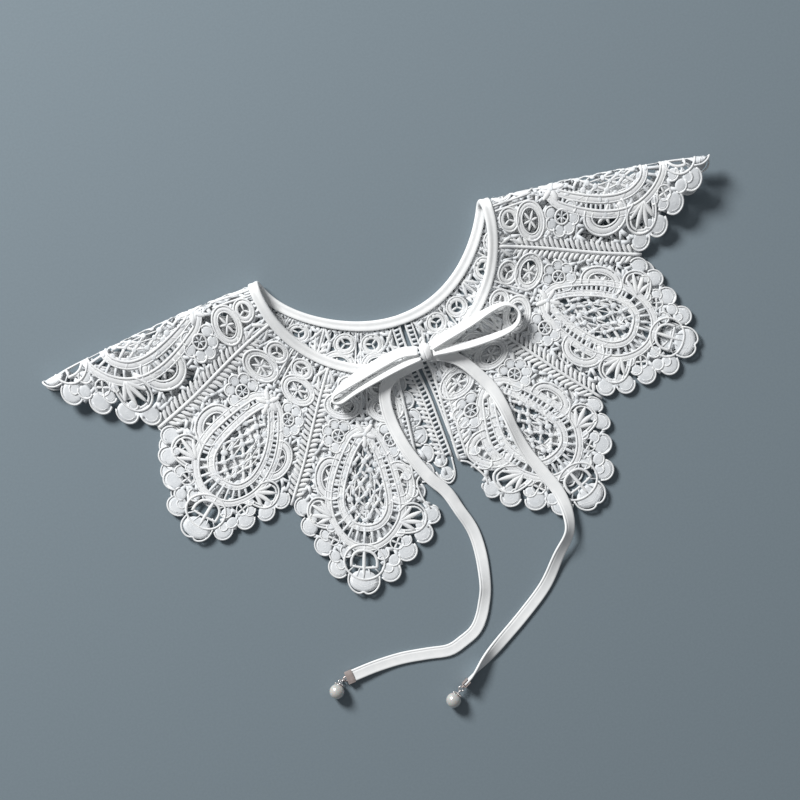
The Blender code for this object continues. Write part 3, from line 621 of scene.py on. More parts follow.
@dataclass
class PetalMotif:
    """The lace of one petal, drawn about its own axis: across is sideways, out is from the neck's centre.

    The tables are places (across, out). A scallop also has its size and lean, and `filled` gathers the
    outlines that the ground keeps out of.
    """

    seed: int = 7
    teardrop: tuple[Pair, ...] = (
        (0.0, 115.5), (7.2, 118.6), (11.2, 124.6), (15.2, 132.6), (18.6, 141.6), (20.8, 150.4),
        (21.4, 159.4), (19.6, 168.6), (14.8, 177.0), (7.8, 183.0), (0.0, 184.8),
    )
    inner_drop: tuple[Pair, ...] = (
        (0.0, 120.4), (3.4, 124.4), (6.8, 130.8), (9.8, 138.6), (12.2, 147.0),
        (13.3, 155.4), (12.6, 163.0), (9.0, 169.4), (4.6, 172.0), (0.0, 172.6),
    )
    scallops: tuple[tuple[float, float, float, float], ...] = (
        (16.6, 201.4, 6.5, 38.0),
        (26.4, 188.2, 6.3, 48.0),
        (35.8, 176.6, 6.1, 56.0),
        (40.8, 164.6, 5.8, 80.0),
    )
    fan: Pair = (29.6, 168.4)
    crescent: Pair = (22.6, 145.6)
    rosette: Pair = (16.9, 118.8)
    big_scroll: Pair = (13.8, 99.4)
    small_scroll: Pair = (9.2, 86.6)
    wheel: Pair = (0.0, 196.4)
    filled: list[Array] = field(default_factory=list)
    work: Threads = field(default_factory=Threads)

    def draw(self) -> Threads:
        """Draw the whole petal.

        Returns:
            The petal's threads about its own axis.
        """
        self._teardrop()
        self._net()
        self._flower()
        self._wheel()
        self._scallops()
        for mirror in (1.0, -1.0):
            self._crescent(mirror)
            self._fan(mirror)
            self._squares(mirror)
            self._rosette(mirror)
            self._scrolls(mirror)
        self._neck_bars()
        self._ground()
        return self.work

    def _whole(self, half: Rows) -> Array:
        """A closed outline from its right half, from the top round the bottom.

        Args:
            half: Points from the top to the bottom.

        Returns:
            The whole outline, evenly spaced.
        """
        half = np.asarray(half, float)
        left = half[-2:0:-1] * np.array([-1.0, 1.0])
        return even_path(np.vstack([half, left]), 2.2, closed=True)

    def _teardrop(self) -> None:
        """The two satin bands of the teardrop and the ladder between them."""
        outer, inner = self._whole(self.teardrop), self._whole(self.inner_drop)
        for outline in (outer, inner):
            self.work.cord(inset(outline, 0.8), 1.5, 1.5, 0.25, closed=True, step=2.0)
            self.work.cord(inset(outline, 2.7), 3.2, 0.9, 0.05, closed=True, step=2.2)
            self.work.cord(inset(outline, 4.4), 1.0, 1.15, 0.1, closed=True, step=2.2)
        foot = even_path(inset(outer, 4.6), 3.2, closed=True)
        head = even_path(inner, 0.7, closed=True)
        for count, point in enumerate(foot):
            gap = np.linalg.norm(head - point, axis=1)
            near = head[int(np.argmin(gap))]
            crowded = point[1] > 166.0 and count % 2 == 1
            if gap.min() > 1.4 and not crowded:
                self.work.bar(point, near + unit(near - point) * 0.6, 1.7, 0.8)
        self.filled.append(inset(outer, 0.6))

    def _net(self) -> None:
        """The uneven net of short bars and knots within the teardrop."""
        rng = np.random.default_rng(self.seed + 1)
        opening = inset(self._whole(self.inner_drop), 3.6)
        knots: dict[tuple[int, int], Array] = {}
        for row in range(-2, 11):
            for col in range(-5, 6):
                if (row + col) % 2:
                    spot = np.array([col * 3.3, 130.0 + 4.6 * row])
                    knots[(row, col)] = spot + rng.uniform(-1.15, 1.15, 2)
        for (row, col), spot in knots.items():
            if within(spot[None, :], opening)[0]:
                blob = rng.uniform(1.1, 2.2, 2)
                self.work.pad(spot, (blob[0], blob[1]), 0.0, 1.3, 0.15)
            for key in ((row + 1, col - 1), (row + 1, col + 1), (row + 2, col)):
                slim = key[1] == col
                if key not in knots or rng.uniform() < (0.7 if slim else 0.2):
                    continue
                middle = (spot + knots[key]) / 2.0
                if within(middle[None, :], opening)[0]:
                    self.work.leaf(spot, knots[key], 1.0 if slim else rng.uniform(1.2, 2.3), 0.9, 0.05)

    def _flower(self) -> None:
        """Five satin leaves where the teardrop begins."""
        x, y = 0.0, 116.4
        for turn, size in ((0, 8.8), (76, 8.2), (-76, 8.2), (142, 8.4), (-142, 8.4)):
            self.work.leaf((x, y), spoke((x, y), (size, size), turn), 3.5, 1.7, 0.35)
        self.work.pad((x, y), (1.7, 1.7), 0.0, 2.0, 0.4)
        self.filled.append(np.array(oval((x, y), (4.6, 4.6), 0, 330, 12)))

    def _wheel(self) -> None:
        """The oval wheel below the teardrop: an arch, a sill and a leaf, with spokes to its ring."""
        x, y = self.wheel
        self.work.cord(oval((x, y), (12.9, 11.0), 0, 345, 24), 1.5, 1.6, 0.25, closed=True, step=2.0)
        arch = [(-8.2, y + 3.6), (-8.0, y - 1.8), (-5.4, y - 5.8), (0.0, y - 7.2)]
        arch += flipped(arch[-2::-1], -1.0)
        self.work.cord(arch, 1.9, 1.4, 0.15, step=1.8)
        self.work.cord([(-8.4, y + 3.0), (0.0, y + 3.6), (8.4, y + 3.0)], 1.6, 1.3, 0.1, step=1.8)
        self.work.leaf((x, y - 10.4), (x, y + 10.6), 2.5, 1.6, 0.25)
        for turn in (-66, -40, -15, 15, 40, 66, 128, -128, 158, -158):
            inner = (7.6, -6.4) if abs(turn) < 90 else (6.6, -3.4)
            self.work.bar(spoke((x, y), inner, turn), spoke((x, y), (12.6, -10.6), turn), 0.85, 0.9)
        self.filled.append(np.array(oval((x, y), (12.9, 11.0), 0, 345, 24)))

    def _scallops(self) -> None:
        """The lobes of the edge, the double lobe of the tip and the satin wedges behind them."""
        self.work.pad((0.0, 208.4), (9.3, 6.9), 0.0, 0.8, 0.05)
        rim = [(9.7, 204.6), (9.9, 209.6), (7.7, 213.8), (4.2, 216.0), (1.4, 215.9)]
        rim = flipped(rim, -1.0) + [(0.0, 214.9)] + rim[::-1]
        self.work.cord(rim, 1.25, 1.6, 0.2, step=1.4)
        for low, high in ((208.6, 211.8), (205.4, 208.4)):
            self.work.cord([(-8.6, low), (0.0, high), (8.6, low)], 0.5, 0.5, 0.35, step=2.0)
        for mirror in (1.0, -1.0):
            for across, out, size, lean in self.scallops:
                spot = np.array([across * mirror, out])
                shell(self.work, spot, (size, size - 0.4), math.radians(lean) * mirror, 92.0)
                self.filled.append(np.array(oval(spot, (size - 0.8, size - 0.8), 0, 330, 12)))
        wedges = ((11.6, 190.6, 140.0, 5.0), (18.6, 194.0, 130.0, 5.2), (25.6, 181.6, 124.0, 4.6))
        wedges += ((15.4, 199.6, 158.0, 3.6), (33.4, 171.4, 118.0, 3.6), (22.0, 176.6, 150.0, 3.6))
        for x, y, turn, size in wedges:
            for mirror in (1.0, -1.0):
                t = math.radians(turn)
                spot = np.array([x * mirror, y])
                lean = math.atan2(math.sin(t) * mirror, -math.cos(t))
                shell(self.work, spot, (size * 0.8, size * 0.7), lean, 92.0)
                self.filled.append(np.array(oval(spot, (size * 0.7, size * 0.7), 0, 330, 12)))

    def _crescent(self, mirror: float) -> None:
        """The crescent beside the teardrop, with its small spoked eye.

        Args:
            mirror: 1 or -1, for the side of the petal.
        """
        x, y = self.crescent
        for radii, width, height, lift in (
            ((10.4, 13.4), 1.3, 1.5, 0.2),
            ((8.2, 11.0), 3.4, 0.9, 0.0),
            ((6.0, 8.6), 1.1, 1.3, 0.1),
        ):
            arc = flipped(oval((x, y), radii, -34, 208, 18), mirror)
            self.work.cord(arc, width, height, lift, step=2.0)
        spots = ((-3.0, -5.6), (2.6, -4.4), (4.0, 1.2), (0.4, 5.2), (-4.0, 2.2))
        for dx, dy in spots:
            self.work.leaf((mirror * x, y), (mirror * (x + dx * 1.25), y + dy * 1.25), 1.9, 1.0, 0.05)
        self.work.pad((mirror * x, y), (1.8, 1.8), 0.0, 1.3, 0.1)
        self.filled.append(np.array(flipped(oval((x, y), (10.0, 13.0), 0, 345, 20), mirror)))

    def _fan(self, mirror: float) -> None:
        """The side fan: a rounded frame with three leaves spread in it.

        Args:
            mirror: 1 or -1, for the side of the petal.
        """
        x, y = self.fan
        frame = ((-8.4, -4.6), (-3.4, -9.6), (3.2, -9.8), (7.4, -5.2), (7.6, 1.6), (3.6, 6.8), (-3.2, 8.6))
        frame += ((-9.4, 8.6),)
        path = flipped(((x + a, y + b) for a, b in frame), mirror)
        self.work.cord(path, 1.4, 1.5, 0.2, step=2.0)
        second = flipped(((x + a * 0.8, y + b * 0.8) for a, b in frame[1:]), mirror)
        self.work.cord(second, 1.3, 0.9, 0.0, step=2.0)
        root = np.array([mirror * (x - 8.2), y + 1.6])
        for dx, dy, width in ((-0.4, -8.4, 2.8), (5.2, -5.4, 3.0), (6.2, 1.4, 3.0), (1.6, 6.6, 2.8)):
            self.work.leaf(root, (mirror * (x + dx), y + dy), width, 1.3, 0.15)
        self.filled.append(np.array(path))

    def _squares(self, mirror: float) -> None:
        """The little four-holed block between the teardrop and the lobes.

        Args:
            mirror: 1 or -1, for the side of the petal.
        """
        x, y = 20.2 * mirror, 183.4
        for turn in (20, 110, 200, 290):
            self.work.leaf((x, y), spoke((x, y), (4.4, 4.4), turn), 1.5, 1.0)
        self.work.cord(oval((x, y), (4.2, 4.2), 0, 330, 12), 1.0, 1.1, 0.05, closed=True, step=2.0)
        self.filled.append(np.array(oval((x, y), (4.4, 4.4), 0, 330, 12)))

    def _rosette(self, mirror: float) -> None:
        """The lobed rosette beside the flower, round a small wheel.

        Args:
            mirror: 1 or -1, for the side of the petal.
        """
        x, y = self.rosette[0] * mirror, self.rosette[1]
        for turn in (-30, 18, 66, 114, 162, 210):
            spot = np.array(spoke((x, y), (7.4, 7.4), turn * mirror))
            shell(self.work, spot, (3.7, 3.4), math.radians(turn) * mirror, 98.0)
        self.work.cord(oval((x, y), (4.1, 4.1), 0, 330, 12), 1.3, 1.4, 0.15, closed=True, step=1.8)
        for turn in (0, 60, 120, 180, 240, 300):
            self.work.bar((x, y), spoke((x, y), (3.9, 3.9), turn + 15.0), 0.8, 0.8)
        self.work.pad((x, y), (1.2, 1.2), 0.0, 1.1)
        self.filled.append(np.array(oval((x, y), (9.6, 9.6), 0, 345, 20)))

    def _scrolls(self, mirror: float) -> None:
        """The scroll near the neck: a stem, a large loop and a small one above it.

        Args:
            mirror: 1 or -1, for the side of the petal.
        """
        x, y = self.big_scroll
        sx, sy = self.small_scroll
        bands = ((0.0, 1.4, 1.5, 0.2), (2.0, 2.6, 0.9, 0.0), (3.8, 1.0, 1.2, 0.1))
        for shrink, width, height, lift in bands:
            big = oval((x, y), (11.6 - shrink, 8.4 - shrink * 0.8), 0, 342, 20)
            self.work.cord(flipped(big, mirror), width, height, lift, closed=True, step=2.0)
            if shrink < 3.0:
                small = oval((sx, sy), (7.2 - shrink, 6.0 - shrink * 0.8), 0, 340, 16)
                self.work.cord(flipped(small, mirror), width, height, lift, closed=True, step=1.8)
        for dx, dy in ((-5.4, -2.6), (5.2, 2.4), (0.6, -4.4), (-0.6, 4.4), (5.6, -2.2), (-5.4, 2.6)):
            self.work.leaf((mirror * x, y), (mirror * (x + dx), y + dy), 1.6, 0.9)
        for dx, dy in ((-4.4, 0.0), (2.6, -3.4), (2.6, 3.4)):
            self.work.leaf((mirror * sx, sy), (mirror * (sx + dx), sy + dy), 1.4, 0.9)
        stem = flipped(((1.8, 77.0), (1.7, 92.0), (2.0, 104.0)), mirror)
        self.work.cord(stem, 1.4, 1.4, 0.2, step=3.0)
        for spot, radii in (((x, y), (11.6, 8.4)), ((sx, sy), (7.2, 6.0))):
            self.filled.append(np.array(flipped(oval(spot, radii, 0, 342, 20), mirror)))

    def _neck_bars(self) -> None:
        """Short bars that join the scrolls to the binding, and leaves above the flower."""
        centre = (0.0, 0.0)
        for turn in np.arange(-15.4, 16.0, 2.2):
            out = 82.6 if abs(turn) < 9.0 else 90.0
            self.work.bar(spoke(centre, (75.0, 75.0), turn), spoke(centre, (out, out), turn), 1.3, 0.85)
        leaves = (((20.4, 84.0), (25.4, 92.4)), ((22.0, 76.6), (19.0, 86.0)))
        for leaf in (*leaves, ((25.4, 106.4), (21.4, 112.0))):
            for mirror in (1.0, -1.0):
                self.work.leaf(*flipped(leaf, mirror), 2.4, 1.1)

    def _ground(self) -> None:
        """The brides that tie the motifs together: an open, uneven net of short bars under them."""
        rng = np.random.default_rng(self.seed)
        pitch, left_out, half_petal = 5.9, 0.27, 0.288
        nodes: dict[tuple[int, int], Array] = {}
        edge = [(a + r * 0.2, b + r * 0.2) for a, b, r, _ in self.scallops]
        edge += [(45.6, 156.0), (20.6, 76.6), (0.0, 75.0)]
        edge = [(0.0, 208.0), *edge, *flipped(edge[-2::-1], -1.0)]
        for row in range(0, 26):
            for col in range(-10, 11):
                spot = np.array([(col + 0.5 * (row % 2)) * pitch, 76.0 + row * pitch * 0.86])
                nodes[(row, col)] = spot + rng.uniform(-1.3, 1.3, 2)
        for (row, col), spot in nodes.items():
            shift = row % 2
            for key in ((row, col + 1), (row + 1, col + shift - 1), (row + 1, col + shift)):
                width, drawn = float(rng.uniform(1.6, 2.5)), float(rng.uniform(0.0, 1.0))
                if key not in nodes or drawn < left_out:
                    continue
                middle = (spot + nodes[key]) / 2.0
                reach = math.hypot(*middle)
                off_rib = (half_petal - abs(math.atan2(*middle))) * reach
                clear_of_rib = off_rib >= (5.0 if 92.0 < reach < 166.0 else 0.0)
                place = middle[None, :]
                if not within(place, edge)[0] or not clear_of_rib:
                    continue
                if not any(within(place, loop)[0] for loop in self.filled):
                    self.work.bar(spot, nodes[key], width, 0.7)


@dataclass
class LaceHalf:
    """One half of the lace: five petals, the ribs between them and the straight edges, all laid."""

    side: Side
    petal: Threads
    rib_from: float = 92.0
    relief: float = 0.8
    front_top: float = 1.4
    back_top: float = 0.53
    lowest: float = -0.62
    levels: float = 0.14
    cockle: float = 0.12
    flat_size: Pair = (0.305, 0.217)
    flat_area: float = 0.0431

    def build(self, thread: ThreadFinish, thin: ThreadFinish) -> None:
        """Make the half: a ground of bars and pads, with its raised cords and leaves on it.

        Args:
            thread: The finish of the raised cords.
            thin: The finish of the thinner fillings and bars, a darker, bluer white of painted shade.
        """
        surface = FoldedSurface(self.side)
        flat, quads, run, raised, level = self._gathered()
        radius, angle = np.hypot(flat[:, 0], flat[:, 1]), np.degrees(np.arctan2(flat[:, 0], flat[:, 1]))
        behind_turn, front_turn = EDGE_TURNS[self.side]
        angle = np.clip(angle, FRONT_EDGE_AT - 0.3, BACK_EDGE_AT + 0.3)
        angle = angle + behind_turn * smooth(radius, 85.0, 130.0) * smooth(angle, 158.0, 173.0)
        angle = angle + front_turn * smooth(radius, 85.0, 110.0) * (1.0 - smooth(angle, 6.0, 16.0))
        behind = surface.share_behind(radius, angle)
        highest = self.front_top + (self.back_top - self.front_top) * behind
        middle = level - self.levels / 2.0
        offset = np.clip(flat[:, 2] * self.relief + middle, self.lowest, highest - self.levels + level)
        cockle = np.sin(flat[:, 0] * 0.21) * np.cos(flat[:, 1] * 0.17)
        offset = offset + self.cockle * (1.0 - behind) * cockle
        laid = surface.lay(radius, angle, offset)
        laid[:, 2] = np.maximum(laid[:, 2], (0.02 + level * 0.3) * MM)
        if self.side is Side.RIGHT:
            quads = quads[:, ::-1]
        high = raised[quads[:, 0]]
        cords = self._piece(f"lace_cords_{self.side.value}", laid, quads[high], run, thread)
        # The fillings and bars take the darker, bluer white of painted shade.
        ground = self._piece(f"lace_ground_{self.side.value}", laid, quads[~high], run, thin)
        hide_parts(f"lace_{self.side.value}")

    def _gathered(self) -> list[Array]:
        """All the half's threads in its flat pattern.

        Returns:
            Points, faces, uvs, whether each point is of a raised thread, and its thread's level.
        """
        points, faces, uvs, own = self.petal.arrays()
        raised = np.array(self.petal.raised)[own]
        parts = []
        for axis in PETAL_AXES:
            flat = self._turned(points, axis)
            keep = self._inside_edges(flat, own)
            parts.append([flat, faces[keep[faces].all(axis=1)], uvs, raised, self._level(own)])
        seams = self._ribs_and_edges()
        points, faces, uvs, own = seams.arrays()
        parts.append([points, faces, uvs, np.array(seams.raised)[own], self._level(own + 3)])
        count = 0
        for part in parts:
            part[1] = part[1] + count
            count += len(part[0])
        return [np.concatenate(column) for column in zip(*parts)]

    def _level(self, own: Array) -> Array:
        """A small height of each thread's own, so that no two that cross share a face's plane."""
        return (own * 0.618034) % 1.0 * self.levels

    def _piece(
        self, name: str, points: Array, quads: Array, run: Array, thread: ThreadFinish
    ) -> Piece:
        """Make one object of the half from the points that its faces use.

        Args:
            name: The object's name.
            points: All of the half's places.
            quads: The faces that it gets.
            run: The uv of each place.
            thread: Its finish.

        Returns:
            The object.
        """
        used, index = np.unique(quads, return_inverse=True)
        obj = quad_object(name, points[used], index.reshape(-1, 4), run[used])
        obj.data.materials.append(thread.material())
        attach(obj, "root")
        log.info("%s: %d faces", name, len(quads))
        return obj

    def _turned(self, points: Array, axis: float) -> Array:
        """A petal's points turned to their place in the half's flat pattern.

        Args:
            points: Points about the petal's axis.
            axis: The petal's angle from the front.

        Returns:
            Points in the half's flat pattern.
        """
        t = math.radians(axis)
        x = points[:, 1] * math.sin(t) + points[:, 0] * math.cos(t)
        y = points[:, 1] * math.cos(t) - points[:, 0] * math.sin(t)
        return np.stack([x, y, points[:, 2]], axis=1)

    def _inside_edges(self, flat: Array, own: Array) -> Array:
        """Which points belong to threads that lie between the front and the back edge.

        Args:
            flat: Points in the half's flat pattern.
            own: The number of each point's thread.

        Returns:
            Whether each point is kept.
        """
        angle = np.degrees(np.arctan2(flat[:, 0], flat[:, 1]))
        count = np.bincount(own)
        middle = np.bincount(own, weights=angle) / count
        radius = np.bincount(own, weights=np.hypot(flat[:, 0], flat[:, 1])) / count
        front = np.where(radius > 148.0, FRONT_EDGE_AT + 2.2, FRONT_EDGE_AT + 0.6)
        front = np.where(radius > 162.0, FRONT_EDGE_AT + 0.4, front)
        corner = 154.0 if self.side is Side.RIGHT else 170.0
        drop = 4.4 if self.side is Side.RIGHT else 2.4
        back = np.where(radius > corner, BACK_EDGE_AT - drop, BACK_EDGE_AT - 0.6)
        return ((middle > front) & (middle < back))[own]

    def _ribs_and_edges(self) -> Threads:
        """The barred ribs between petals, and the laddered edges beside the opening and the slit.

        Returns:
            Their threads, in the half's flat pattern.
        """
        work = Threads()

        def at(radius: float, angle: float) -> Pair:
            """Flat place of a radius and a pattern angle."""
            return radius * math.sin(math.radians(angle)), radius * math.cos(math.radians(angle))

        for axis in PETAL_AXES[:-1]:
            rib = axis + PETAL_PITCH / 2.0
            work.cord([at(r, rib) for r in np.linspace(78.0, 171.0, 24)], 2.0, 1.6, 0.25, step=4.0)
            for count, r in enumerate(np.arange(self.rib_from, 166.0, 3.3)):
                for side in (-1.0, 1.0):
                    reach = math.degrees((7.0 if count % 2 else 6.0) / r)
                    work.leaf(at(r, rib + side * 0.2), at(r - 3.4, rib + side * reach), 2.5, 1.1, 0.0)
        behind_end = 154.0 if self.side is Side.RIGHT else 165.0
        for angle, way, end in ((FRONT_EDGE_AT, 1.0, 145.0), (BACK_EDGE_AT, -1.0, behind_end)):
            rows = np.linspace(75.0, end, 20)
            work.cord([at(r, angle + way * math.degrees(0.8 / r)) for r in rows], 1.9, 1.5, 0.2, step=4.0)
            work.cord([at(r, angle + way * math.degrees(5.4 / r)) for r in rows], 1.5, 1.3, 0.1, step=4.0)
            for count, r in enumerate(np.arange(78.0, end - 2.0, 2.9)):
                near, far = math.degrees(0.8 / r), math.degrees(5.4 / r)
                work.bar(at(r, angle + way * near), at(r + 0.6, angle + way * far), 1.5, 0.8)
                within_edge = math.degrees((11.6 if count % 2 else 10.2) / r)
                if r > 90.0:
                    tip = at(r - 3.0, angle + way * within_edge)
                    work.leaf(at(r, angle + way * far), tip, 2.3, 1.1, 0.05)
        for r in np.arange(101.0, behind_end - 4.0, 11.5):
            spot = np.array(at(r, BACK_EDGE_AT - math.degrees(14.6 / r)))
            shell(work, spot, (5.4, 4.0), math.radians(BACK_EDGE_AT + 82.0), 100.0)
            for shift in (-5.2, -1.8, 1.8, 5.2):
                start = at(r + shift, BACK_EDGE_AT - math.degrees(16.2 / r))
                tip = at(r + shift - 2.2, BACK_EDGE_AT - math.degrees(22.5 / r))
                work.leaf(start, tip, 1.9, 1.0, 0.0)
        self._slit_net(work, at, behind_end + (2.0 if self.side is Side.RIGHT else 12.0))
        corners = [[(145.0, 6.6), (149.0, 8.0), (160.0, 8.2), (166.0, 7.4)]]
        if self.side is Side.RIGHT:
            corners += [[(150.0, 173.8), (155.6, 173.7), (159.0, 171.8), (160.4, 170.2), (161.0, 168.0)]]
            shells = ((152.6, 171.2, 3.6), (153.4, 10.0, 3.8), (143.0, 10.2, 3.0))
        else:
            corners += [[(165.0, 173.8), (176.0, 173.2), (180.0, 171.6), (176.0, 170.2), (171.0, 169.6)]]
            shells = ((173.4, 171.7, 4.3), (165.0, 171.2, 3.9), (153.4, 10.0, 3.8), (143.0, 10.2, 3.0))
        for corner in corners:
            work.cord([at(*spot) for spot in corner], 1.3, 1.4, 0.15, step=2.0)
        for radius, angle, size in shells:
            shell(work, np.array(at(radius, angle)), (size, size), math.radians(angle), 95.0)
        return work

    def _slit_net(
        self, work: Threads, at: Callable[[float, float], Pair], end: float
    ) -> None:
        """Short bars that fill the band beside the slit, under its shells.

        Args:
            work: Where they are drawn.
            at: Gives the flat place of a radius and a pattern angle.
            end: The radius where the band ends.
        """
        rng = np.random.default_rng(23)
        knots = {}
        for row, r in enumerate(np.arange(94.0, end, 5.4)):
            for col, off in enumerate((8.0, 20.5)):
                if off < 13.0 or r < end - 14.0:
                    place = BACK_EDGE_AT - math.degrees((off + rng.uniform(-1.0, 1.0)) / r)
                    knots[(row, col)] = at(r + rng.uniform(-1.2, 1.2), place)
        for (row, col), spot in knots.items():
            for key in ((row + 1, col), (row, col + 1)):
                if key in knots and rng.uniform() < (0.9 if key[1] == col else 0.25):
                    work.bar(spot, knots[key], float(rng.uniform(1.5, 2.3)), 0.7)


class Value:
    """A shader socket that can be used in arithmetic."""

    def __init__(self, nodes: NodeMaker, socket: Any) -> None:
        """Wrap a socket of a node tree."""
        self.nodes = nodes
        self.socket = socket

    def _math(self, operation: str, *others: Any) -> Value:
        """A Math node on this value and the others."""
        return self.nodes.make("ShaderNodeMath", {"operation": operation}, (self, *others))

    def __add__(self, other: Any) -> Value:
        """Sum."""
        return self._math("ADD", other)

    def __mul__(self, other: Any) -> Value:
        """Product."""
        return self._math("MULTIPLY", other)

    __radd__ = __add__
    __rmul__ = __mul__

    def sine(self) -> Value:
        """Its sine."""
        return self._math("SINE")

    def between(self, low: float, high: float) -> Value:
        """0 below low, 1 above high and smooth between."""
        how = {"interpolation_type": "SMOOTHSTEP"}
        return self.nodes.make("ShaderNodeMapRange", how, (self, low, high, 0.0, 1.0))


class NodeMaker:
    """Makes the nodes of one material."""

    def __init__(self, name: str) -> None:
        """Start a material with its Principled shader.

        Args:
            name: The material's name.
        """
        self.material = bpy.data.materials.new(name)
        self.material.use_nodes = True
        self.tree = self.material.node_tree
        self.shader = self.tree.nodes["Principled BSDF"]

    def make(self, kind: str, settings: dict[str, Any], inputs: Iterable[Any], output: Any = 0) -> Value:
        """Make a node.

        Args:
            kind: Its type.
            settings: Attributes, set before the inputs.
            inputs: Values by place, or (socket name, value) pairs.
            output: The name or number of the output that comes back.

        Returns:
            The output as a value.
        """
        node = self.tree.nodes.new(kind)
        for key, setting in settings.items():
            setattr(node, key, setting)
        for place, given in enumerate(inputs):
            key, value = given if isinstance(given, tuple) else (place, given)
            if isinstance(value, Value):
                self.tree.links.new(value.socket, node.inputs[key])
            else:
                node.inputs[key].default_value = value
        return Value(self, node.outputs[output])

    def blend(self, share: Value, first: Sequence[float], second: Any) -> Value:
        """Mix two colours."""
        return self.make("ShaderNodeMix", {"data_type": "RGBA"}, ((0, share), (6, first), (7, second)), 2)

    def noise(self, scale: float, detail: float = 2.0) -> Value:
        """Noise over the object's own coordinates, per metre.

        Args:
            scale: How many waves a metre has.
            detail: How many finer layers it has.

        Returns:
            The noise.
        """
        place = self.make("ShaderNodeTexCoord", {}, (), "Object")
        inputs = (("Vector", place), ("Scale", scale), ("Detail", detail))
        return self.make("ShaderNodeTexNoise", {}, inputs)

    def run(self) -> Value:
        """Distance along a thread or tape, in millimetres, from its uv map."""
        uv = self.make("ShaderNodeUVMap", {"uv_map": "run"}, ())
        return self.make("ShaderNodeSeparateXYZ", {}, (uv,))

    def set(self, **values: Any) -> None:
        """Feed or set the shader's sockets, named with _ for a space."""
        for key, value in values.items():
            socket = self.shader.inputs[key.replace("_", " ")]
            if isinstance(value, Value):
                self.tree.links.new(value.socket, socket)
            else:
                socket.default_value = value

    def bump(self, height: Value, strength: float, distance: float) -> Value:
        """A bumped normal; distance is in metres."""
        inputs = (("Strength", strength), ("Distance", distance), ("Height", height))
        return self.make("ShaderNodeBump", {}, inputs)


@dataclass(frozen=True)
class Finish:
    """A finish of two close tones; its material is made once and shared."""

    name: str
    color: Tone
    deep: Tone

    def material(self) -> bpy.types.Material:
        """The finish as a material; one of each name is made.

        Returns:
            The material.
        """
        found = bpy.data.materials.get(self.name)
        if found:
            return found
        nodes = NodeMaker(self.name)
        self.dress(nodes)
        return nodes.material

    def dress(self, nodes: NodeMaker) -> None:
        """Feed the material's shader."""
        raise NotImplementedError


@dataclass(frozen=True)
class ThreadFinish(Finish):
    """Matte embroidery thread: satin stitches that cross each cord, `pitch` millimetres apart."""

    name: str = "thread_look"
    color: Tone = (0.84, 0.85, 0.845, 1.0)
    deep: Tone = (0.79, 0.80, 0.81, 1.0)
    rough: float = 0.82
    pitch: float = 0.62
    depth: float = 0.00022

    def dress(self, nodes: NodeMaker) -> None:
        """Rows of stitches with a little fuzz, in a matte white.

        Args:
            nodes: The material's nodes.
        """
        wobble = nodes.noise(900.0, 1.0)
        stitch = (nodes.run() * (2.0 * math.pi / self.pitch) + wobble * 5.0).sine()
        fuzz = nodes.noise(2600.0, 2.0)
        height = stitch * 0.5 + fuzz * 0.6
        shade = nodes.noise(160.0, 2.0).between(0.3, 0.72)
        nodes.set(
            Base_Color=nodes.blend(shade, self.deep, self.color),
            Roughness=self.rough,
            Specular_IOR_Level=0.25,
            Sheen_Weight=0.18,
            Sheen_Roughness=0.5,
            Normal=nodes.bump(height, 0.4, self.depth),
        )


@dataclass(frozen=True)
class TapeFinish(Finish):
    """Satin tape: a soft sheen, a fine weave, and faint creases of painted shade."""

    name: str = "tape_look"
    color: Tone = (0.90, 0.905, 0.90, 1.0)
    deep: Tone = (0.86, 0.87, 0.87, 1.0)
    rough: float = 0.5
    weave: float = 0.00006

    def dress(self, nodes: NodeMaker) -> None:
        """A fine weave across the tape, in a satin white with patches of painted shade.

        Args:
            nodes: The material's nodes.
        """
        height = (nodes.run() * 9.0).sine() * 0.5 + nodes.noise(1800.0, 2.0)
        # Painted shade: noise patches of a darker, bluer white stand for the shade in faint creases.
        crease = nodes.noise(220.0, 1.0).between(0.35, 0.7)
        nodes.set(
            Base_Color=nodes.blend(crease, self.deep, self.color),
            Roughness=self.rough,
            Specular_IOR_Level=0.35,
            Sheen_Weight=0.12,
            Normal=nodes.bump(height, 0.4, self.weave),
        )


@dataclass(frozen=True)
class MetalFinish(Finish):
    """Plated, polished silver with a faint warm tarnish."""

    name: str = "silver_look"
    color: Tone = (0.82, 0.80, 0.79, 1.0)
    deep: Tone = (0.60, 0.565, 0.55, 1.0)
    metallic: float = 0.8

    def dress(self, nodes: NodeMaker) -> None:
        """Worn and polished places, by slow noise.

        Args:
            nodes: The material's nodes.
        """
        worn = nodes.noise(420.0, 3.0).between(0.35, 0.7)
        nodes.set(
            Base_Color=nodes.blend(worn, self.deep, self.color),
            Metallic=self.metallic,
            Roughness=worn * -0.12 + 0.34,
            Normal=nodes.bump(nodes.noise(900.0, 1.0), 0.15, 0.0001),
        )


@dataclass(frozen=True)
class PearlFinish(Finish):
    """Cream pearl with faint clouds, under a clear lustre."""

    name: str = "pearl_look"
    color: Tone = (0.66, 0.655, 0.62, 1.0)
    deep: Tone = (0.60, 0.59, 0.56, 1.0)

    def dress(self, nodes: NodeMaker) -> None:
        """Soft clouds of two creams under a clear coat.

        Args:
            nodes: The material's nodes.
        """
        cloud = nodes.noise(180.0, 2.0).between(0.35, 0.7)
        nodes.set(
            Base_Color=nodes.blend(cloud, self.deep, self.color),
            Roughness=0.22,
            Metallic=0.25,
            Coat_Weight=1.0,
            Coat_Roughness=0.1,
            Subsurface_Weight=0.15,
            Subsurface_Scale=0.002,
            Normal=nodes.bump(nodes.noise(1200.0, 2.0), 0.06, 0.00005),
        )


def assign(obj: Piece, body: str, node: str) -> Piece:
    """Put a piece on the body that it rides on, and hide the solid that it stands for.

    Args:
        obj: The piece.
        body: The body that it rides on.
        node: The solid that it stands for.

    Returns:
        The same piece.
    """
    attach(obj, body)
    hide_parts(node)
    return obj


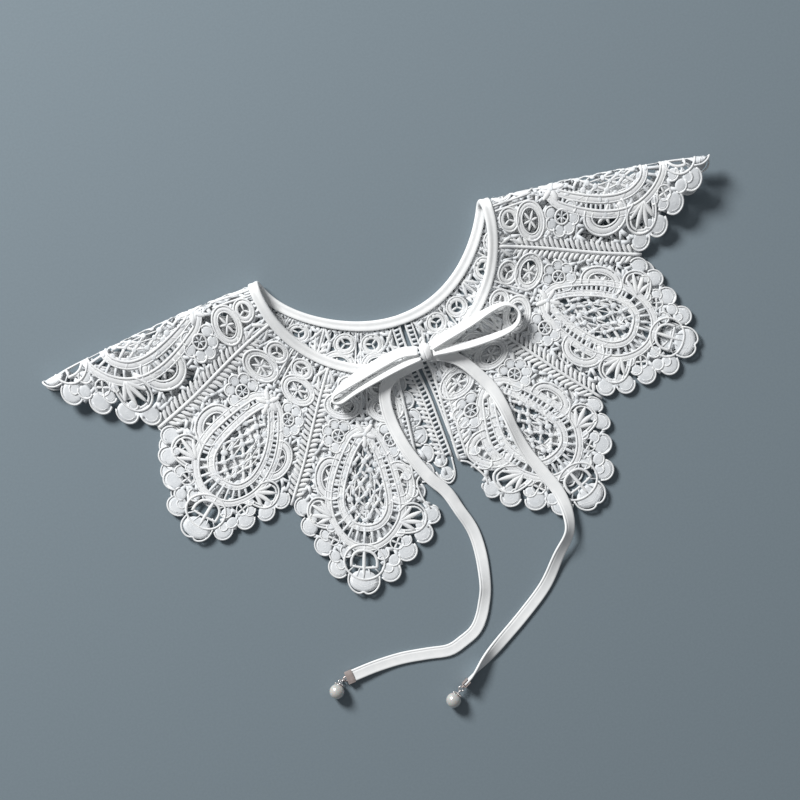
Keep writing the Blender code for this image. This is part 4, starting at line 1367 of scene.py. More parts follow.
def tube_object(name: str, rings: Array, runs: Array, finish: bpy.types.Material) -> Piece:
    """Join rings of points into a closed tube with fanned ends.

    Args:
        name: The object's name.
        rings: Points, (rings, corners, 3), in metres in the row frame.
        runs: Each ring's distance along the tube, in millimetres.
        finish: Its material.

    Returns:
        The object, its faces outward.
    """
    count, corners = rings.shape[:2]
    mesh = bmesh.new()
    layer = mesh.loops.layers.uv.new("run")
    rows = [[mesh.verts.new(point) for point in ring] for ring in rings.tolist()]
    for i in range(count - 1):
        for k in range(corners):
            n = (k + 1) % corners
            face = mesh.faces.new((rows[i][k], rows[i][n], rows[i + 1][n], rows[i + 1][k]))
            face.smooth = True
            spots = ((i, k), (i, k + 1), (i + 1, k + 1), (i + 1, k))
            for loop, (row, corner) in zip(face.loops, spots):
                loop[layer].uv = (runs[row], corner / corners)
    for row, at in ((rows[0], 0), (rows[-1], -1)):
        middle = mesh.verts.new(rings[at].mean(axis=0).tolist())
        for k in range(corners):
            face = mesh.faces.new((row[k], row[(k + 1) % corners], middle))
            for loop in face.loops:
                loop[layer].uv = (runs[at], 0.5)
    bmesh.ops.recalc_face_normals(mesh, faces=mesh.faces)
    data = bpy.data.meshes.new(name)
    mesh.to_mesh(data)
    mesh.free()
    obj = bpy.data.objects.new(name, data)
    bpy.context.scene.collection.objects.link(obj)
    data.materials.append(finish)
    return obj


@dataclass(frozen=True)
class NeckBinding:
    """The tape folded over the neck edge: a C-section with rounded folds and a topstitched groove."""

    left_end: float = -5.0
    right_end: float = 8.0
    step: float = 1.0
    slot: float = LACE_THICK + 0.9
    web: float = 1.0

    def _section(self, surface: FoldedSurface, angles: Array) -> Array:
        """Rings of the binding on one half.

        Args:
            surface: The half's middle surface.
            angles: Where the rings stand.

        Returns:
            The rings, in metres.
        """
        half, slot, wide = BIND_THICK / 2.0, self.slot / 2.0, BIND_WIDTH
        upper = (
            (0.0, 0.0), (0.05, half * 0.62), (0.7, half * 0.97), (1.9, half * 1.03),
            (2.8, half * 0.88), (3.5, half * 0.84), (4.2, half * 0.89), (5.1, half * 0.98),
            (wide - 0.45, half * 0.94), (wide, half * 0.78), (wide, slot), (self.web, slot),
        )
        section = np.array(upper + tuple((r, -o) for r, o in upper[:0:-1]))
        radius = NECK_R + section[:, 0]
        return surface.lay(
            np.broadcast_to(radius, (len(angles), len(radius))),
            angles[:, None],
            np.broadcast_to(section[:, 1], (len(angles), len(radius))),
        )

    def build(self, finish: TapeFinish) -> Piece:
        """Make the binding from the left front round the back to the right front.

        Args:
            finish: The tape's finish.

        Returns:
            The binding.
        """
        rings = []
        for side, end in ((Side.LEFT, self.left_end), (Side.RIGHT, self.right_end)):
            surface = FoldedSurface(side)
            centre = BACK_EDGE_AT + surface.slit_at / float(surface.behind_scale(NECK_R))
            angles = np.linspace(end, centre, int((centre - end) / self.step))
            fold = float(surface.fold_angle(NECK_R))
            extra = np.arange(fold - 9.0, fold + 12.0, 0.5)
            angles = np.unique(np.concatenate([angles, extra]))
            rings.append(self._section(surface, angles))
        left, right = rings
        joint = (left[-1] + right[-1]) / 2.0
        whole = np.concatenate([left[:-1], joint[None], right[-2::-1]])
        whole[..., 2] = np.maximum(whole[..., 2], 0.05 * MM)
        runs = run_along(whole.mean(axis=1)) / MM
        obj = tube_object("binding_tape", whole, runs, finish.material())
        assign(obj, "root", "neck_binding")
        log.info("binding: %d rings", len(whole))
        return obj


def running_mean(values: Array) -> Array:
    """Mean of each value and its two neighbours on each side."""
    return np.convolve(np.pad(values, 2, mode="edge"), np.ones(5) / 5.0, mode="valid")


def bed_height(x: float, y: float) -> float:
    """Top of what lies under a point about the neck's centre: front lace, back lace or the floor.

    Args:
        x: Across, in millimetres.
        y: Behind, in millimetres.

    Returns:
        The height of the bed there.
    """
    radius = math.hypot(x, y)
    angle = abs(math.degrees(math.atan2(x, -y)))
    off = (angle - PETAL_AXES[0] + PETAL_PITCH / 2.0) % PETAL_PITCH - PETAL_PITCH / 2.0
    reach = VALLEY_R + (TIP_R - VALLEY_R) * math.cos(math.radians(off * 180.0 / PETAL_PITCH))
    surface = FoldedSurface(Side.LEFT)
    if angle > FRONT_EDGE_AT - 2.0 and NECK_R - 6.0 < radius < min(reach, TIP_R) + 6.0:
        top = LACE_THICK + LAYER_STEP
        extra = BIND_THICK - LACE_THICK if radius < 84.0 else surface.ripple if radius > 115.0 else 0.0
        return top + extra
    if math.hypot(x - surface.back_centre[0], y - surface.back_centre[1]) < reach + 5.0:
        return LACE_THICK
    return 0.0


@dataclass(frozen=True)
class TiePath:
    """One strand of the tie; `rows` holds x, y from the neck's centre, height and roll of the width."""

    node: str
    steps: int
    far_end: str
    stiffness: str
    rows: tuple[tuple[float, float, float, float], ...]
    fine: int = 3

    def middle(self, width: float, thick: float) -> tuple[Array, Array]:
        """The strand's centre line and roll.

        Args:
            width: The tape's width in millimetres.
            thick: Its thickness.

        Returns:
            Places about the neck's centre, and the roll at each in radians.
        """
        path = resampled(spline(self.rows, 12), self.steps)
        held = [(x, y, 0.0, 1.0 if height > 0.0 else 0.0) for x, y, height, _ in self.rows]
        held = resampled(spline(held, 12), self.steps)[:, 3]
        roll = np.radians(path[:, 3])
        half = width / 2.0 * np.abs(np.sin(roll)) + thick / 2.0 * np.abs(np.cos(roll))
        bed = np.array([bed_height(x, y) for x, y in path[:, :2]])
        wide = np.array([bed[max(i - 2, 0) : i + 3].max() for i in range(self.steps)])
        top = np.maximum(running_mean(wide), bed)
        lying = top + half + np.where(top > 0.05, LIE_GAP, 0.0)
        if min(row[2] for row in self.rows) > 0.0:
            height = path[:, 2]
        else:
            height = np.where(held > 0.5, np.maximum(path[:, 2], lying), lying)
            height = np.maximum(running_mean(height), lying)
        even = spline(np.column_stack([path[:, :2], height, roll]), self.fine)
        return even[:, :3], even[:, 3]


TIES = (
    TiePath(
        node="bow_loop_right",
        steps=34,
        far_end="object",
        stiffness="medium",
        rows=(
            (15.3, -70.2, 10.2, 40), (27.1, -67.4, 10.0, 40), (42.7, -64.3, 9.6, 46),
            (57.1, -60.9, 8.9, 62), (67.1, -60.4, 8.4, 74), (72.7, -64.6, 8.6, 84),
            (72.9, -71.0, 8.8, 96), (67.5, -75.6, 8.6, 106), (57.1, -77.2, 9.0, 118),
            (39.9, -77.2, 9.6, 124), (27.1, -75.8, 9.9, 130), (15.5, -73.8, 10.2, 140),
        ),
    ),
    TiePath(
        node="bow_loop_left",
        steps=32,
        far_end="object",
        stiffness="medium",
        rows=(
            (6.9, -70.4, 10.7, 140), (-3.5, -68.3, 10.5, 148), (-16.9, -70.0, 10.3, 158),
            (-31.6, -73.2, 9.9, 152), (-43.9, -76.6, 9.3, 128), (-51.0, -79.6, 9.1, 102),
            (-52.3, -83.0, 9.1, 86), (-48.6, -84.6, 9.1, 70), (-37.9, -81.6, 9.5, 62),
            (-26.9, -79.2, 9.9, 56), (-8.9, -75.9, 10.3, 50), (6.9, -73.8, 10.7, 40),
        ),
    ),
    TiePath(
        node="tie_tail_right",
        steps=56,
        far_end="fitting",
        stiffness="limp",
        rows=(
            (11.7, -75.4, 6.1, 0), (19.7, -77.4, 6.1, 0), (29.3, -84.0, 6.1, 0),
            (36.8, -94.8, 5.0, 0), (43.0, -107.4, 0, 0), (45.9, -121.4, 0, 22),
            (47.1, -134.4, 0, 34), (50.1, -150.5, 0, 12), (55.8, -166.1, 0, 0),
            (61.0, -180.4, 0, 0), (62.2, -193.9, 0, 20), (59.2, -206.3, 0, 38),
            (48.4, -218.0, 0, 24), (34.7, -233.0, 0, 6), (15.8, -246.2, 0, 0),
            (-3.1, -257.4, 0, 12), (-14.9, -264.2, 0, 44), (-22.5, -269.0, 0, 76),
            (-27.3, -271.9, 4.05, 90), (-32.3, -274.6, 4.05, 90),
        ),
    ),
    TiePath(
        node="tie_tail_left",
        steps=62,
        far_end="fitting",
        stiffness="limp",
        rows=(
            (7.5, -77.4, 6.1, 0), (-2.9, -78.2, 6.1, 0), (-12.5, -80.2, 6.1, 0),
            (-19.5, -86.0, 6.1, 0), (-22.5, -96.0, 5.0, 0), (-22.3, -110.6, 0, 0),
            (-18.9, -127.5, 0, 10), (-11.6, -146.3, 0, 0), (-4.5, -158.2, 0, 0),
            (-0.5, -171.6, 0, 14), (3.4, -186.3, 0, 0), (3.2, -202.5, 0, 0),
            (-0.4, -220.8, 0, 20), (-4.7, -231.0, 0, 8), (-9.5, -239.2, 0, 0),
            (-15.6, -245.5, 0, 0), (-24.8, -249.4, 0, 0), (-34.5, -251.8, 0, 0),
            (-47.8, -249.5, 0, 0), (-63.6, -247.1, 0, 0), (-78.9, -246.5, 1.2, 0),
            (-89.9, -246.9, 2.3, 0), (-99.3, -247.6, 2.3, 0),
        ),
    ),
)


@dataclass
class Tie:
    """The bow's tape: two loops and two tails, each a narrow folded tube with a stitched edge."""

    width: float = 7.5
    thick: float = 1.5
    ends: dict[str, tuple[Array, Array]] = field(default_factory=dict)
    laid: dict[str, tuple[Piece, TiePath, Array, float]] = field(default_factory=dict)

    def build(self, finish: TapeFinish) -> list[Piece]:
        """Make the four strands.

        Args:
            finish: The tape's finish.

        Returns:
            The strands, in the order of the table.
        """
        return [self._strand(path, finish) for path in TIES]

    def declare(self, fittings: dict[str, Piece]) -> None:
        """Go over each strand's points and the clamp on its tail, without keeping or setting anything.

        Args:
            fittings: The clamp on the end of each tail, by the strand's node.
        """
        for node, (obj, path, place, length) in self.laid.items():
            tuple(place[0])
            [tuple(point) for point in place]
            [fittings[node]] if node in fittings else []

    def _section(self) -> Array:
        """The tape's section: folded edges a little thicker, and a stitch line sunk near one edge.

        Returns:
            Points (across, through) round the section.
        """
        half, thick = self.width / 2.0, self.thick / 2.0
        upper = (
            (half, 0.0), (half - 0.12, thick * 0.72), (half - 0.6, thick), (half - 1.15, thick * 0.94),
            (half - 1.4, thick * 0.66), (half - 1.65, thick * 0.9), (half * 0.35, thick * 0.8),
            (-half * 0.35, thick * 0.78), (-half + 1.2, thick * 0.9), (-half + 0.5, thick),
            (-half + 0.12, thick * 0.72),
        )
        return np.array(upper + tuple((-w, -t) for w, t in upper))

    def _strand(self, path: TiePath, finish: TapeFinish) -> Piece:
        """Make one strand, and keep its end, its points and its length.

        Args:
            path: The strand's values.
            finish: The tape's finish.

        Returns:
            The strand.
        """
        middle, roll = path.middle(self.width, self.thick)
        ahead = np.gradient(middle, axis=0)
        ahead /= np.linalg.norm(ahead, axis=1, keepdims=True)
        level = np.cross(ahead, [0.0, 0.0, 1.0])
        level /= np.linalg.norm(level, axis=1, keepdims=True)
        up = np.cross(level, ahead)
        wide_way = level * np.cos(roll)[:, None] + up * np.sin(roll)[:, None]
        thick_way = np.cross(wide_way, ahead)
        section = self._section()
        rings = middle[:, None, :] + wide_way[:, None, :] * section[:, 0][None, :, None]
        rings = rings + thick_way[:, None, :] * section[:, 1][None, :, None]
        rings = in_row_frame(rings)
        rings[..., 2] = np.maximum(rings[..., 2], 0.03 * MM)
        runs = run_along(middle)
        name = path.node.replace("bow_", "tape_").replace("tie_", "tape_")
        obj = tube_object(name, rings, runs, finish.material())
        assign(obj, "root", path.node)
        place = in_row_frame(middle)
        level_ahead = np.array([ahead[-1][0], ahead[-1][1], 0.0])
        self.ends[path.node] = (middle[-1], level_ahead / np.linalg.norm(level_ahead))
        self.laid[path.node] = (obj, path, place, float(runs[-1]) * MM)
        log.info("%s: %.0f mm long", obj.name, runs[-1])
        return obj


@dataclass(frozen=True)
class Knot:
    """The knot of the bow: the tape wrapped once over the loops, its two folds side by side."""

    at: Pair = (11.1, -72.2)
    size: Triple = (6.5, 11.0, 5.4)
    height: float = 10.0
    corners: int = 40

    def _swell(self, share: float) -> float:
        """Size of the wrap at a share of its width: two soft folds with a crease between, closed edges.

        Args:
            share: From -1 to 1 over its width.

        Returns:
            The size, 1 at its fullest.
        """
        crease = 0.12 * math.exp(-(((share + 0.22) / 0.09) ** 2))
        hem = 0.05 * math.exp(-(((share - 0.72) / 0.05) ** 2))
        hem += 0.04 * math.exp(-(((share + 0.8) / 0.05) ** 2))
        return math.sqrt(1.0 - 0.55 * share * share) * (1.0 - crease) - hem

    def build(self, finish: TapeFinish) -> Piece:
        """Make the knot.

        Args:
            finish: The tape's finish.

        Returns:
            The knot.
        """
        width, depth, tall = self.size
        around = np.linspace(0.0, 2.0 * math.pi, self.corners, endpoint=False)
        shares = np.concatenate([[-1.0, -0.985, -0.95], np.linspace(-0.9, 0.9, 31), [0.95, 0.985, 1.0]])
        rings = []
        for share in shares:
            edge = 0.9 + 0.1 * math.sqrt(max(1.0 - abs(share) ** 24, 0.0))
            size = self._swell(float(share)) * edge
            pleat = 1.0 + 0.018 * np.sin(around * 5.0 + share * 3.0) * (1.0 - share * share)
            lean = 0.55 * np.sin(around) * (0.4 + 0.6 * abs(share))
            x = self.at[0] + share * width / 2.0 + lean * 0.5 * (1.0 - abs(share))
            y = self.at[1] + np.cos(around) * depth / 2.0 * size * pleat
            z = self.height + np.sin(around) * tall / 2.0 * size * pleat
            rings.append(np.stack([np.broadcast_to(x, y.shape), y, z], axis=1))
        whole = in_row_frame(np.array(rings))
        obj = tube_object("tape_knot", whole, shares * width / 2.0, finish.material())
        assign(obj, "root", "bow_knot")
        log.info("knot: %d rings", len(shares))
        return obj


def alone(obj: Piece) -> None:
    """Make an object the only selected one, and active.

    Args:
        obj: The object.
    """
    bpy.ops.object.select_all(action="DESELECT")
    obj.select_set(True)
    bpy.context.view_layer.objects.active = obj


def choose(obj: Piece, test: Callable[[Any], bool], kind: str = "faces") -> None:
    """Select the faces or points of the edited mesh that pass a test.

    Args:
        obj: The object in edit mode.
        test: Says whether an item is selected.
        kind: Which items are tested: faces or verts.
    """
    mesh = bmesh.from_edit_mesh(obj.data)
    for part in (mesh.faces, mesh.edges, mesh.verts):
        for item in part:
            item.select = False
    for item in getattr(mesh, kind):
        if test(item):
            item.select_set(True)
    mesh.select_flush_mode()
    bmesh.update_edit_mesh(obj.data)


def joined(name: str, parts: Sequence[Piece]) -> Piece:
    """Join parts into one object of that name.

    Args:
        name: The name of the whole.
        parts: Its parts.

    Returns:
        The whole.
    """
    alone(parts[0])
    for part in parts[1:]:
        part.select_set(True)
    if len(parts) > 1:
        bpy.ops.object.join()
    whole = bpy.context.view_layer.objects.active
    whole.name = name
    whole.data.name = name
    return whole


def settled(
    at: Sequence[float] = (0.0, 0.0, 0.0),
    turn: Sequence[float] = (0.0, 0.0, 0.0),
    scale: Sequence[float] = (1.0, 1.0, 1.0),
) -> Piece:
    """Move, turn and size the primitive just added, with its place put into its mesh.

    Args:
        at: Where it goes.
        turn: Its turn about each axis, in radians.
        scale: Its size along each axis.

    Returns:
        The primitive's object.
    """
    obj = bpy.context.object
    obj.location, obj.rotation_euler, obj.scale = at, turn, scale
    alone(obj)
    bpy.ops.object.transform_apply(location=True, rotation=True, scale=True)
    return obj


def add_ring(radii: Pair, segments: tuple[int, int]) -> None:
    """Add a ring of wire: its radius and the wire's, with the segments round each.

    Args:
        radii: The ring's radius and its wire's.
        segments: Segments round the ring and round the wire.
    """
    bpy.ops.mesh.primitive_torus_add(
        major_radius=radii[0], minor_radius=radii[1], major_segments=segments[0], minor_segments=segments[1]
    )


def extrude(way: Sequence[float]) -> None:
    """Extrude what is selected by a vector."""
    bpy.ops.mesh.extrude_region_move(TRANSFORM_OT_translate={"value": tuple(way)})


@dataclass(frozen=True)
class Place:
    """Where a fitting goes: millimetres from the neck's centre, with its ahead and up directions."""

    at: Array
    way: Array
    up: Array

    def put(self, obj: Piece) -> Piece:
        """Move the object's mesh, made along +X in millimetres, to its place in metres.

        Args:
            obj: The object.

        Returns:
            The same object.
        """
        side = np.cross(self.up, self.way)
        turn = Matrix((self.way, side, self.up)).transposed().to_4x4()
        middle = Vector((self.at + NECK_CENTRE).tolist()) * MM
        alone(obj)
        bpy.ops.object.transform_apply(location=True, rotation=True, scale=True)
        obj.data.transform(Matrix.Translation(middle) @ turn @ Matrix.Scale(MM, 4))
        obj.data.update()
        return obj


@dataclass(frozen=True)
class ClampMaker:
    """The folded metal clamp on a tail's end, with its wire eyelet. It points along +X."""

    width: float = 8.0
    thick: float = 3.2
    back: float = -3.7
    web: Pair = (0.35, 1.0)
    slot: float = 2.1
    bar_at: float = 2.8
    bar_half: float = 1.25
    wire: float = 0.4
    wire_corner: float = 0.7
    wire_sunk: float = 0.33
    rounding: float = 0.13

    def make(self, name: str, finish: bpy.types.Material) -> Piece:
        """Make the clamp about the tail's end.

        Args:
            name: The object's name.
            finish: Its material.

        Returns:
            The clamp, in millimetres about the end of the tail.
        """
        clamp = joined(name, [self._jaws(), self._eyelet()])
        clamp.data.materials.append(finish)
        alone(clamp)
        bpy.ops.object.shade_smooth_by_angle(angle=math.radians(38.0))
        return clamp

    def _jaws(self) -> Piece:
        """A web with two jaws drawn back from it, their edges rounded.

        Returns:
            The web with its jaws.
        """
        jaw = (self.thick - self.slot) / 2.0
        ahead = self.web[1] - self.web[0]
        back = (self.back - self.web[0], 0.0, 0.0)
        bpy.ops.mesh.primitive_cube_add(size=1.0)
        middle = (sum(self.web) / 2.0, 0.0, -(self.thick - jaw) / 2.0)
        obj = settled(middle, scale=(ahead, self.width, jaw))
        bpy.ops.object.mode_set(mode="EDIT")
        choose(obj, lambda face: face.normal.x < -0.9)
        extrude(back)
        low = -self.thick / 2.0 + jaw
        choose(obj, lambda face: face.normal.z > 0.9 and face.calc_center_median().x > self.web[0])
        for rise in (self.slot, jaw):
            extrude((0.0, 0.0, rise))
        choose(obj, lambda face: face.normal.x < -0.9 and face.calc_center_median().z > low + self.slot)
        extrude(back)
        bpy.ops.mesh.select_all(action="SELECT")
        bpy.ops.mesh.bevel(offset=self.rounding, segments=2, affect="EDGES")
        bpy.ops.mesh.normals_make_consistent(inside=False)
        bpy.ops.object.mode_set(mode="OBJECT")
        return obj

    def _eyelet(self) -> Piece:
        """A wire bow that stands ahead of the web: bent from a round rod.

        Returns:
            The eyelet.
        """
        corner, root = self.wire_corner, self.web[1] - self.wire_sunk
        bpy.ops.mesh.primitive_circle_add(vertices=12, radius=self.wire, fill_type="NGON")
        obj = settled((root, -self.bar_half, 0.0), turn=QUARTER_UP)
        bpy.ops.object.mode_set(mode="EDIT")
        bpy.ops.mesh.select_all(action="SELECT")
        leg = self.bar_at - corner - root
        turn = (self.bar_at - corner, -self.bar_half + corner, 0.0)
        extrude((leg, 0.0, 0.0))
        self._bend(turn)
        extrude((0.0, 2.0 * (self.bar_half - corner), 0.0))
        self._bend((turn[0], -turn[1], 0.0))
        extrude((-leg, 0.0, 0.0))
        bpy.ops.mesh.select_all(action="SELECT")
        bpy.ops.mesh.normals_make_consistent(inside=False)
        bpy.ops.object.mode_set(mode="OBJECT")
        return obj

    def _bend(self, centre: Triple) -> None:
        """Draw the selected end round a quarter turn about a centre, in five steps.

        Args:
            centre: The middle of the bend.
        """
        for _ in range(5):
            bpy.ops.mesh.extrude_region_move()
            bpy.ops.transform.rotate(
                value=-math.radians(18.0), orient_axis="Z", orient_type="GLOBAL", center_override=centre
            )


@dataclass(frozen=True)
class DropMaker:
    """The parts of a pearl drop: its ring, its ornate cap with an eye, and the pearl.

    A ring, eye, collar or loop has its radius and its wire's radius, the stem its start, end and radius,
    and the cap its inner and outer radius and how far it reaches round the pearl, in degrees.
    """

    ring: Pair = (1.6, 0.36)
    eye: Pair = (1.15, 0.3)
    eye_ahead: float = 0.24
    stem: Triple = (1.39, 1.825, 0.5)
    length: float = 6.95
    pearl_size: float = 4.65
    cap: Triple = (4.9, 5.35, 39.0)
    cap_sunk: float = 0.12
    collar: Pair = (0.8, 0.24)
    collar_sunk: float = 0.16
    loop: Pair = (0.78, 0.2)
    lobes: int = 8

    def link(self, name: str, finish: bpy.types.Material) -> Piece:
        """A jump ring about the origin whose axis is up, with the fine line where its wire closes.

        Args:
            name: The object's name.
            finish: Its material.

        Returns:
            The ring.
        """
        around, joint = 48, 0.09
        add_ring(self.ring, (around, 14))
        obj = settled()
        bpy.ops.object.mode_set(mode="EDIT")
        turn = 2.0 * math.pi / around
        choose(obj, lambda v: abs(math.atan2(v.co.y, v.co.x)) < turn * 0.3, "verts")
        bpy.ops.transform.shrink_fatten(value=-joint)
        bpy.ops.object.mode_set(mode="OBJECT")
        return self._finished(joined(name, [obj]), finish)

    def bead(self, name: str, finish: bpy.types.Material) -> Piece:
        """The pearl, ahead of the hook."""
        bpy.ops.mesh.primitive_uv_sphere_add(segments=64, ring_count=40, radius=self.pearl_size)
        return self._finished(joined(name, [settled((self.length, 0.0, 0.0))]), finish)

    def crown(self, name: str, finish: bpy.types.Material) -> Piece:
        """The cap: a lobed shell, a loop on each lobe, beads between, a collar, the eye and its post.

        Args:
            name: The object's name.
            finish: Its material.

        Returns:
            The cap.
        """
        start, end, radius = self.stem
        parts = [self._shell(), *self._petals(), *self._grains()]
        add_ring(self.collar, (24, 8))
        parts.append(settled((self.length - self.cap[1] + self.collar_sunk, 0.0, 0.0), turn=QUARTER_UP))
        add_ring(self.eye, (36, 12))
        parts.append(settled((self.eye_ahead, 0.0, 0.0)))
        bpy.ops.mesh.primitive_cylinder_add(vertices=20, radius=radius, depth=end - start)
        parts.append(settled(((start + end) / 2.0, 0.0, 0.0), turn=QUARTER_UP))
        return self._finished(joined(name, parts), finish)

    def _finished(self, obj: Piece, finish: bpy.types.Material) -> Piece:
        """Give a piece its material and smooth shading.

        Args:
            obj: The piece.
            finish: Its material.

        Returns:
            The same piece.
        """
        obj.data.materials.clear()
        obj.data.materials.append(finish)
        alone(obj)
        bpy.ops.object.shade_smooth_by_angle(angle=math.radians(45.0))
        return obj

    def _shell(self) -> Piece:
        """The part of a sphere that the cap covers, its rim cut in lobes, made thick.

        Returns:
            The cap's shell.
        """
        inner, outer, reach = self.cap
        radius = outer - self.cap_sunk
        bpy.ops.mesh.primitive_uv_sphere_add(segments=64, ring_count=60, radius=radius)
        obj = settled(turn=QUARTER_DOWN)
        bpy.ops.object.mode_set(mode="EDIT")

        def beyond(vert: Any) -> bool:
            """Whether a point lies outside the lobed rim.

            Args:
                vert: A point of the sphere.

            Returns:
                Whether it is cut away.
            """
            off = math.degrees(math.acos(max(-1.0, min(1.0, -vert.co.x / radius))))
            around = math.atan2(vert.co.z, vert.co.y)
            return off > reach - 1.0 - 7.5 * (0.5 - 0.5 * math.cos(around * self.lobes))

        choose(obj, beyond, "verts")
        bpy.ops.mesh.delete(type="VERT")
        bpy.ops.object.mode_set(mode="OBJECT")
        wall = obj.modifiers.new("wall", "SOLIDIFY")
        wall.thickness = radius - inner
        wall.offset = -1.0
        bpy.ops.object.modifier_apply(modifier=wall.name)
        return settled((self.length, 0.0, 0.0))

    def _petals(self) -> list[Piece]:
        """A raised loop of wire on each lobe of the cap.

        Returns:
            The loops.
        """
        _, outer, reach = self.cap
        add_ring(self.loop, (20, 8))
        first = settled(turn=QUARTER_DOWN, scale=(1.0, 0.72, 1.0))
        return self._around(first, math.radians(reach - 12.0), outer - self.cap_sunk, 0.0)

    def _grains(self) -> list[Piece]:
        """A small bead between each pair of petals.

        Returns:
            The beads.
        """
        _, outer, reach = self.cap
        bpy.ops.mesh.primitive_uv_sphere_add(segments=12, ring_count=8, radius=0.34)
        return self._around(settled(), math.radians(reach - 21.0), outer - 0.1, 0.5)

    def _around(
        self, first: Piece, lean: float, radius: float, shift: float
    ) -> list[Piece]:
        """Set copies of a part round the cap, leant off its axis.

        Args:
            first: The part, facing -X about the origin.
            lean: Angle off the cap's axis, in radians.
            radius: Distance from the pearl's middle.
            shift: Share of a step by which the first one is turned.

        Returns:
            The parts, each with its own mesh.
        """
        parts = []
        for count in range(self.lobes):
            part = first.copy()
            part.data = first.data.copy()
            bpy.context.scene.collection.objects.link(part)
            turn = Matrix.Rotation(2.0 * math.pi * (count + shift) / self.lobes, 4, "X")
            place = Matrix.Translation((self.length, 0.0, 0.0)) @ turn @ Matrix.Rotation(lean, 4, "Y")
            part.data.transform(place @ Matrix.Translation((-radius, 0.0, 0.0)))
            parts.append(part)
        bpy.data.objects.remove(first, do_unlink=True)
        return parts


@dataclass
class Drops:
    """The clamps, rings, caps and pearls on the two tails, each in its place on its own body."""

    clamp: ClampMaker = field(default_factory=ClampMaker)
    drop: DropMaker = field(default_factory=DropMaker)
    near: float = 1.01
    right_ring_at: float = 232.0
    right_cap_at: float = 217.0
    left_cap_at: float = 231.0

    def _level(self, angle: float) -> Array:
        """The level direction of an angle in degrees."""
        return np.array([math.cos(math.radians(angle)), math.sin(math.radians(angle)), 0.0])

    def _rising(self, angle: float, hook: Array) -> Array:
        """Direction from the hook to the pearl, which rests on the floor."""
        up = (self.drop.pearl_size - hook[2]) / self.drop.length
        return self._level(angle) * math.sqrt(1.0 - up * up) + np.array([0.0, 0.0, up])

    def build(
        self,
        ends: dict[str, tuple[Array, Array]],
        metals: dict[str, MetalFinish],
        pearl: PearlFinish,
    ) -> dict[str, Piece]:
        """Make both drops.

        Args:
            ends: The last point and level direction of each tail.
            metals: The clamp's metal and the drop's metal.
            pearl: The pearl's finish.

        Returns:
            The clamp on each tail, by the tail's node.
        """
        up = np.array([0.0, 0.0, 1.0])
        clamps = {}
        for half in Side:
            side, on_left = half.value, half is Side.LEFT
            node = f"tie_tail_{side}"
            at, way = ends[node]
            held = up if on_left else np.cross(way, up)
            clamp = self.clamp.make(f"end_clamp_{side}", metals["clamp"].material())
            clamps[node] = Place(at, way, held).put(clamp)
            assign(clamp, "root", f"crimp_{side}")
            bar = at + self.clamp.bar_at * way
            if on_left:
                middle = bar + way * (self.drop.ring[0] - self.near)
                hook = middle + way * self.drop.ring[0]
                toward = self._rising(self.left_cap_at, hook)
                ring_place, ring_body = Place(middle, way, np.cross(way, up)), "root"
            else:
                middle = bar + self._level(self.right_ring_at) * (self.drop.ring[0] - self.near)
                hook = middle + self._level(self.right_cap_at) * self.drop.ring[0]
                toward = self._rising(self.right_cap_at, hook)
                ring_place, ring_body = Place(middle, -self._level(self.right_ring_at), up), "drop_right"
            level = unit(np.cross(toward, up))
            eye_axis = np.cross(level, toward) if on_left else level
            ring = self.drop.link(f"link_ring_{side}", metals["drop"].material())
            assign(ring_place.put(ring), ring_body, f"jump_ring_{side}")
            place = Place(hook, toward, eye_axis)
            crown = self.drop.crown(f"cap_{side}", metals["drop"].material())
            assign(place.put(crown), f"drop_{side}", f"bead_cap_{side}")
            bead = self.drop.bead(f"bead_{side}", pearl.material())
            assign(place.put(bead), f"drop_{side}", f"pearl_{side}")
            log.info("%s drop: pearl of %.1f mm", side, 2.0 * self.drop.pearl_size)
        return clamps


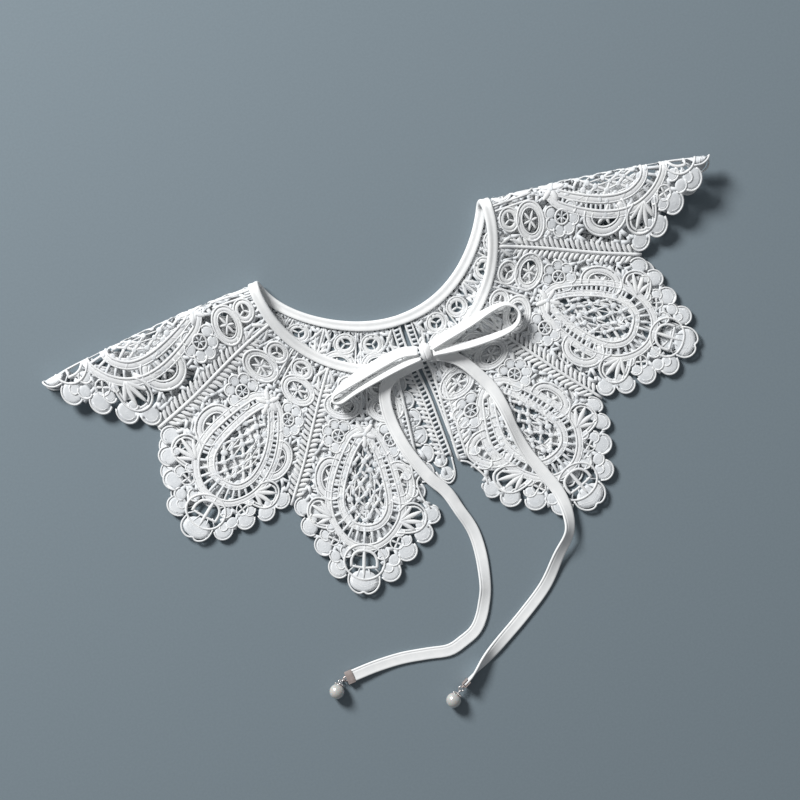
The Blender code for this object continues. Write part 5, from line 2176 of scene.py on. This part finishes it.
@dataclass(frozen=True)
class Studio:
    """Pale blue-grey floor, soft light from the upper left, and the camera straight above."""

    floor: Tone = (0.19, 0.235, 0.265, 1.0)
    sky: Tone = (0.93, 0.96, 1.0, 1.0)
    centre: Pair = (-11.65, 4.15)
    across: Pair = (0.946, -0.324)
    shown: float = 496.0
    lens: float = 85.0
    sensor: float = 36.0
    key_way: Triple = (-0.44, 0.90, 0.72)
    key_far: float = 2.6
    key_size: float = 0.85
    key_power: float = 94.0
    ambient: float = 0.2

    def build(self) -> None:
        """Make the floor, the lights and the camera."""
        bpy.ops.mesh.primitive_plane_add(size=6.0, location=(0.0, 0.0, -0.0002))
        floor = bpy.context.object
        floor.name = "floor"
        nodes = NodeMaker("floor_look")
        grain = nodes.noise(700.0, 2.0)
        darker = tuple(c * 0.96 for c in self.floor[:3]) + (1.0,)
        tone = nodes.blend(grain.between(0.3, 0.7), darker, self.floor)
        bump = nodes.bump(grain, 0.1, 0.0001)
        nodes.set(Base_Color=tone, Roughness=0.7, Specular_IOR_Level=0.2, Normal=bump)
        floor.data.materials.append(nodes.material)
        world = bpy.data.worlds.new("studio")
        world.use_nodes = True
        back = world.node_tree.nodes["Background"]
        back.inputs["Color"].default_value = self.sky
        back.inputs["Strength"].default_value = self.ambient
        bpy.context.scene.world = world
        target = Vector((self.centre[0] * MM, self.centre[1] * MM, 0.0))
        light = bpy.data.lights.new("key", "AREA")
        light.shape = "DISK"
        light.size = self.key_size
        light.energy = self.key_power
        key = bpy.data.objects.new("key", light)
        key.location = target + Vector(self.key_way).normalized() * self.key_far
        key.rotation_euler = (target - key.location).to_track_quat("-Z", "Y").to_euler()
        bpy.context.scene.collection.objects.link(key)
        camera = bpy.data.cameras.new("camera")
        camera.lens = self.lens
        camera.sensor_width = self.sensor
        eye = bpy.data.objects.new("camera", camera)
        height = self.shown * MM * self.lens / self.sensor
        right = Vector((self.across[0], self.across[1], 0.0)).normalized()
        up = Vector((-right.y, right.x, 0.0))
        turn = Matrix((right, up, Vector((0.0, 0.0, 1.0)))).transposed().to_4x4()
        eye.matrix_world = Matrix.Translation(target + Vector((0.0, 0.0, height))) @ turn
        bpy.context.scene.collection.objects.link(eye)
        bpy.context.scene.camera = eye
        bpy.context.scene.view_settings.view_transform = "Standard"
        log.info("camera %.3f m above the floor", height)


def main() -> None:
    """Build the collar's look in order."""
    logging.basicConfig(level=logging.INFO, format="%(name)s %(message)s")
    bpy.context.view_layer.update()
    thread, tape = ThreadFinish(), TapeFinish()
    # Painted shade: the fillings and bars get a darker, bluer white than the cords, for the shade on them
    # and the blue floor showing through the thin thread.
    thin = ThreadFinish("filling_painted_shade_look", (0.78, 0.80, 0.815, 1.0), (0.70, 0.725, 0.745, 1.0))
    petal = PetalMotif().draw()
    for side in Side:
        LaceHalf(side, petal).build(thread, thin)
    NeckBinding().build(tape)
    tie = Tie()
    tie.build(tape)
    Knot().build(tape)
    metals = {
        "clamp": MetalFinish("clamp_look", (0.58, 0.50, 0.475, 1.0), (0.46, 0.385, 0.36, 1.0), 0.45),
        "drop": MetalFinish(),
    }
    tie.declare(Drops().build(tie.ends, metals, PearlFinish()))
    Studio().build()


if __name__ == "__main__":
    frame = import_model()
    main()
